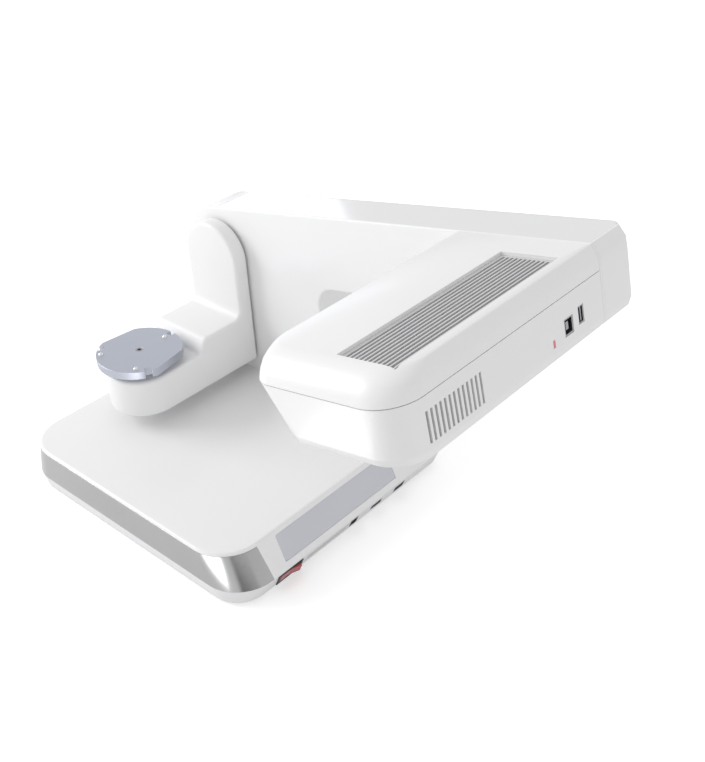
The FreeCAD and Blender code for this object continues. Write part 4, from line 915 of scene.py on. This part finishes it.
def plain(name, colour_value, strength=0.0, roughness=0.9):
    material = bpy.data.materials.new(name)
    material.use_nodes = True
    shader = material.node_tree.nodes["Principled BSDF"]
    shader.inputs["Base Color"].default_value = (*colour_value, 1.0)
    shader.inputs["Roughness"].default_value = roughness
    shader.inputs["Emission Color"].default_value = (*colour_value, 1.0)
    shader.inputs["Emission Strength"].default_value = strength
    return material


def make_floor():
    """A bright floor for the eye, and a duller one under it that only bounces light."""
    seen = solid("studio_floor", floor_grid(0.0))
    seen.data.materials.append(plain("studio_white", (0.9, 0.9, 0.9), FLOOR_GLOW))
    seen.visible_diffuse = False
    seen.visible_glossy = False
    seen.visible_shadow = False
    bounce = solid("studio_bounce", floor_grid(-0.002))
    grey = (FLOOR_BOUNCE, FLOOR_BOUNCE, FLOOR_BOUNCE)
    bounce.data.materials.append(plain("studio_grey", grey, BOUNCE_GLOW))
    bounce.visible_camera = False


def floor_grid(height):
    bm = bmesh.new()
    place = Matrix.Translation((0, 0, height))
    bmesh.ops.create_grid(bm, x_segments=2, y_segments=2, size=40.0, matrix=place)
    return bm


def make_card(name, corners, tint, strength):
    """A studio card that only shows as a reflection in gloss."""
    bm = bmesh.new()
    bm.faces.new([bm.verts.new(corner) for corner in corners])
    card = solid(name, bm)
    card.data.materials.append(plain(name, tint, strength))
    card.visible_camera = False
    card.visible_diffuse = False
    card.visible_shadow = False
    card.visible_transmission = False


def make_camera():
    a = math.radians(CAMERA_AZIMUTH)
    e = math.radians(CAMERA_ELEVATION)
    back = Vector((math.sin(a) * math.cos(e), -math.cos(a) * math.cos(e), math.sin(e)))
    right = Vector((math.cos(a), math.sin(a), 0.0))
    up = back.cross(right)
    roll = math.radians(CAMERA_ROLL)
    turned_right = math.cos(roll) * right + math.sin(roll) * up
    turned_up = -math.sin(roll) * right + math.cos(roll) * up
    camera = bpy.data.objects.new("camera", bpy.data.cameras.new("camera"))
    bpy.context.scene.collection.objects.link(camera)
    turn = Matrix((turned_right, turned_up, back)).transposed()
    camera.matrix_world = Matrix.Translation(CAMERA_AT) @ turn.to_4x4()
    camera.data.lens = CAMERA_LENS
    camera.data.sensor_width = 36.0
    camera.data.clip_start = 0.01
    bpy.context.scene.camera = camera


def make_light(name, place, aim, size, watts):
    data = bpy.data.lights.new(name, "AREA")
    data.shape = "RECTANGLE"
    data.size, data.size_y = size
    data.energy = watts
    lamp = bpy.data.objects.new(name, data)
    bpy.context.scene.collection.objects.link(lamp)
    lamp.location = place
    lamp.rotation_euler = (Vector(aim) - Vector(place)).to_track_quat("-Z", "Y").to_euler()


def make_stage():
    make_camera()
    make_floor()
    make_light("key", KEY_AT, KEY_AIM, KEY_SIZE, KEY_WATTS)
    middle = Vector((BASE_RIGHT - BASE_R, BASE_FRONT + BASE_R, 1.5))
    centre = PLACE @ middle
    for name, first, second, tone, glow in CORNER_CARDS:
        one = Vector((*first, 0.0))
        two = Vector((*second, 0.0))
        corners = [centre + one * CARD_NEAR, centre + two * CARD_NEAR,
                   centre + two * CARD_FAR, centre + one * CARD_FAR]
        make_card(name, corners, (tone, tone, tone), glow)
    lilac = [PLACE @ Vector((LILAC_X, y, z)) for y, z in LILAC_CARD]
    make_card("strip_lilac", lilac, LILAC_TINT, LILAC_GLOW)
    world = bpy.data.worlds.new("studio")
    bpy.context.scene.world = world
    world.use_nodes = True
    nodes = world.node_tree.nodes
    links = world.node_tree.links
    ground = nodes["Background"]
    ground.inputs["Color"].default_value = (1.0, 1.0, 1.0, 1.0)
    ground.inputs["Strength"].default_value = WORLD_LIGHT
    seen = nodes.new("ShaderNodeBackground")
    seen.inputs["Color"].default_value = (1.0, 1.0, 1.0, 1.0)
    seen.inputs["Strength"].default_value = 1.0
    path = nodes.new("ShaderNodeLightPath")
    mix = nodes.new("ShaderNodeMixShader")
    links.new(path.outputs["Is Camera Ray"], mix.inputs[0])
    links.new(ground.outputs[0], mix.inputs[1])
    links.new(seen.outputs[0], mix.inputs[2])
    links.new(mix.outputs[0], nodes["World Output"].inputs["Surface"])
    bpy.context.scene.view_settings.view_transform = "Standard"


# --- operators ---
class SCANNER_OT_stage(bpy.types.Operator):
    """Sets up floor, lights and camera."""
    bl_idname = "scanner.stage"
    bl_label = "Stage"

    def execute(self, context):
        make_stage()
        return {"FINISHED"}


class SCANNER_OT_base(bpy.types.Operator):
    """Models the base's cover, trim band and glass panel."""
    bl_idname = "scanner.base"
    bl_label = "Base"

    def execute(self, context):
        make_base()
        return {"FINISHED"}


class SCANNER_OT_tray(bpy.types.Operator):
    """Models the tray under the base with its vents and port openings."""
    bl_idname = "scanner.tray"
    bl_label = "Tray"

    def execute(self, context):
        make_tray()
        return {"FINISHED"}


class SCANNER_OT_upright(bpy.types.Operator):
    """Models the leaning upright's covers, end cap and strip."""
    bl_idname = "scanner.upright"
    bl_label = "Upright"

    def execute(self, context):
        make_upright()
        return {"FINISHED"}


class SCANNER_OT_head(bpy.types.Operator):
    """Models the optical head's covers and grille."""
    bl_idname = "scanner.head"
    bl_label = "Head"

    def execute(self, context):
        make_head()
        return {"FINISHED"}


class SCANNER_OT_arm(bpy.types.Operator):
    """Models the swinging arm's cover."""
    bl_idname = "scanner.arm"
    bl_label = "Arm"

    def execute(self, context):
        make_arm()
        return {"FINISHED"}


class SCANNER_OT_turntable(bpy.types.Operator):
    """Models the turntable and its locating balls."""
    bl_idname = "scanner.turntable"
    bl_label = "Turntable"

    def execute(self, context):
        make_turntable()
        return {"FINISHED"}


class SCANNER_OT_ports(bpy.types.Operator):
    """Refines switch, ports, feet and screws."""
    bl_idname = "scanner.ports"
    bl_label = "Ports"

    def execute(self, context):
        make_ports()
        return {"FINISHED"}


class SCANNER_OT_inside(bpy.types.Operator):
    """Gives the inner parts their finishes."""
    bl_idname = "scanner.inside"
    bl_label = "Inside"

    def execute(self, context):
        dress_inside()
        return {"FINISHED"}


OPERATORS = (SCANNER_OT_stage, SCANNER_OT_base, SCANNER_OT_tray, SCANNER_OT_upright, SCANNER_OT_head,
             SCANNER_OT_arm, SCANNER_OT_turntable, SCANNER_OT_ports, SCANNER_OT_inside)


class SCANNER_PT_panel(bpy.types.Panel):
    """Lists the scanner's pieces and settings."""
    bl_label = "Dental Scanner"
    bl_idname = "SCANNER_PT_panel"
    bl_space_type = "VIEW_3D"
    bl_region_type = "UI"
    bl_category = "Scanner"

    def draw(self, context):
        for operator in OPERATORS:
            self.layout.operator(operator.bl_idname)
        for group in (context.scene.scanner_sizes, context.scene.scanner_colours):
            for name in group.__annotations__:
                self.layout.prop(group, name)


CLASSES = (ScannerSizes, ScannerColours, *OPERATORS, SCANNER_PT_panel)


def register():
    for cls in CLASSES:
        bpy.utils.register_class(cls)
    bpy.types.Scene.scanner_sizes = PointerProperty(type=ScannerSizes)
    bpy.types.Scene.scanner_colours = PointerProperty(type=ScannerColours)


def unregister():
    del bpy.types.Scene.scanner_colours
    del bpy.types.Scene.scanner_sizes
    for cls in reversed(CLASSES):
        bpy.utils.unregister_class(cls)


def main():
    register()
    for operator in OPERATORS:
        getattr(bpy.ops.scanner, operator.bl_idname.split(".")[1])()


if __name__ == "__main__":
    main()
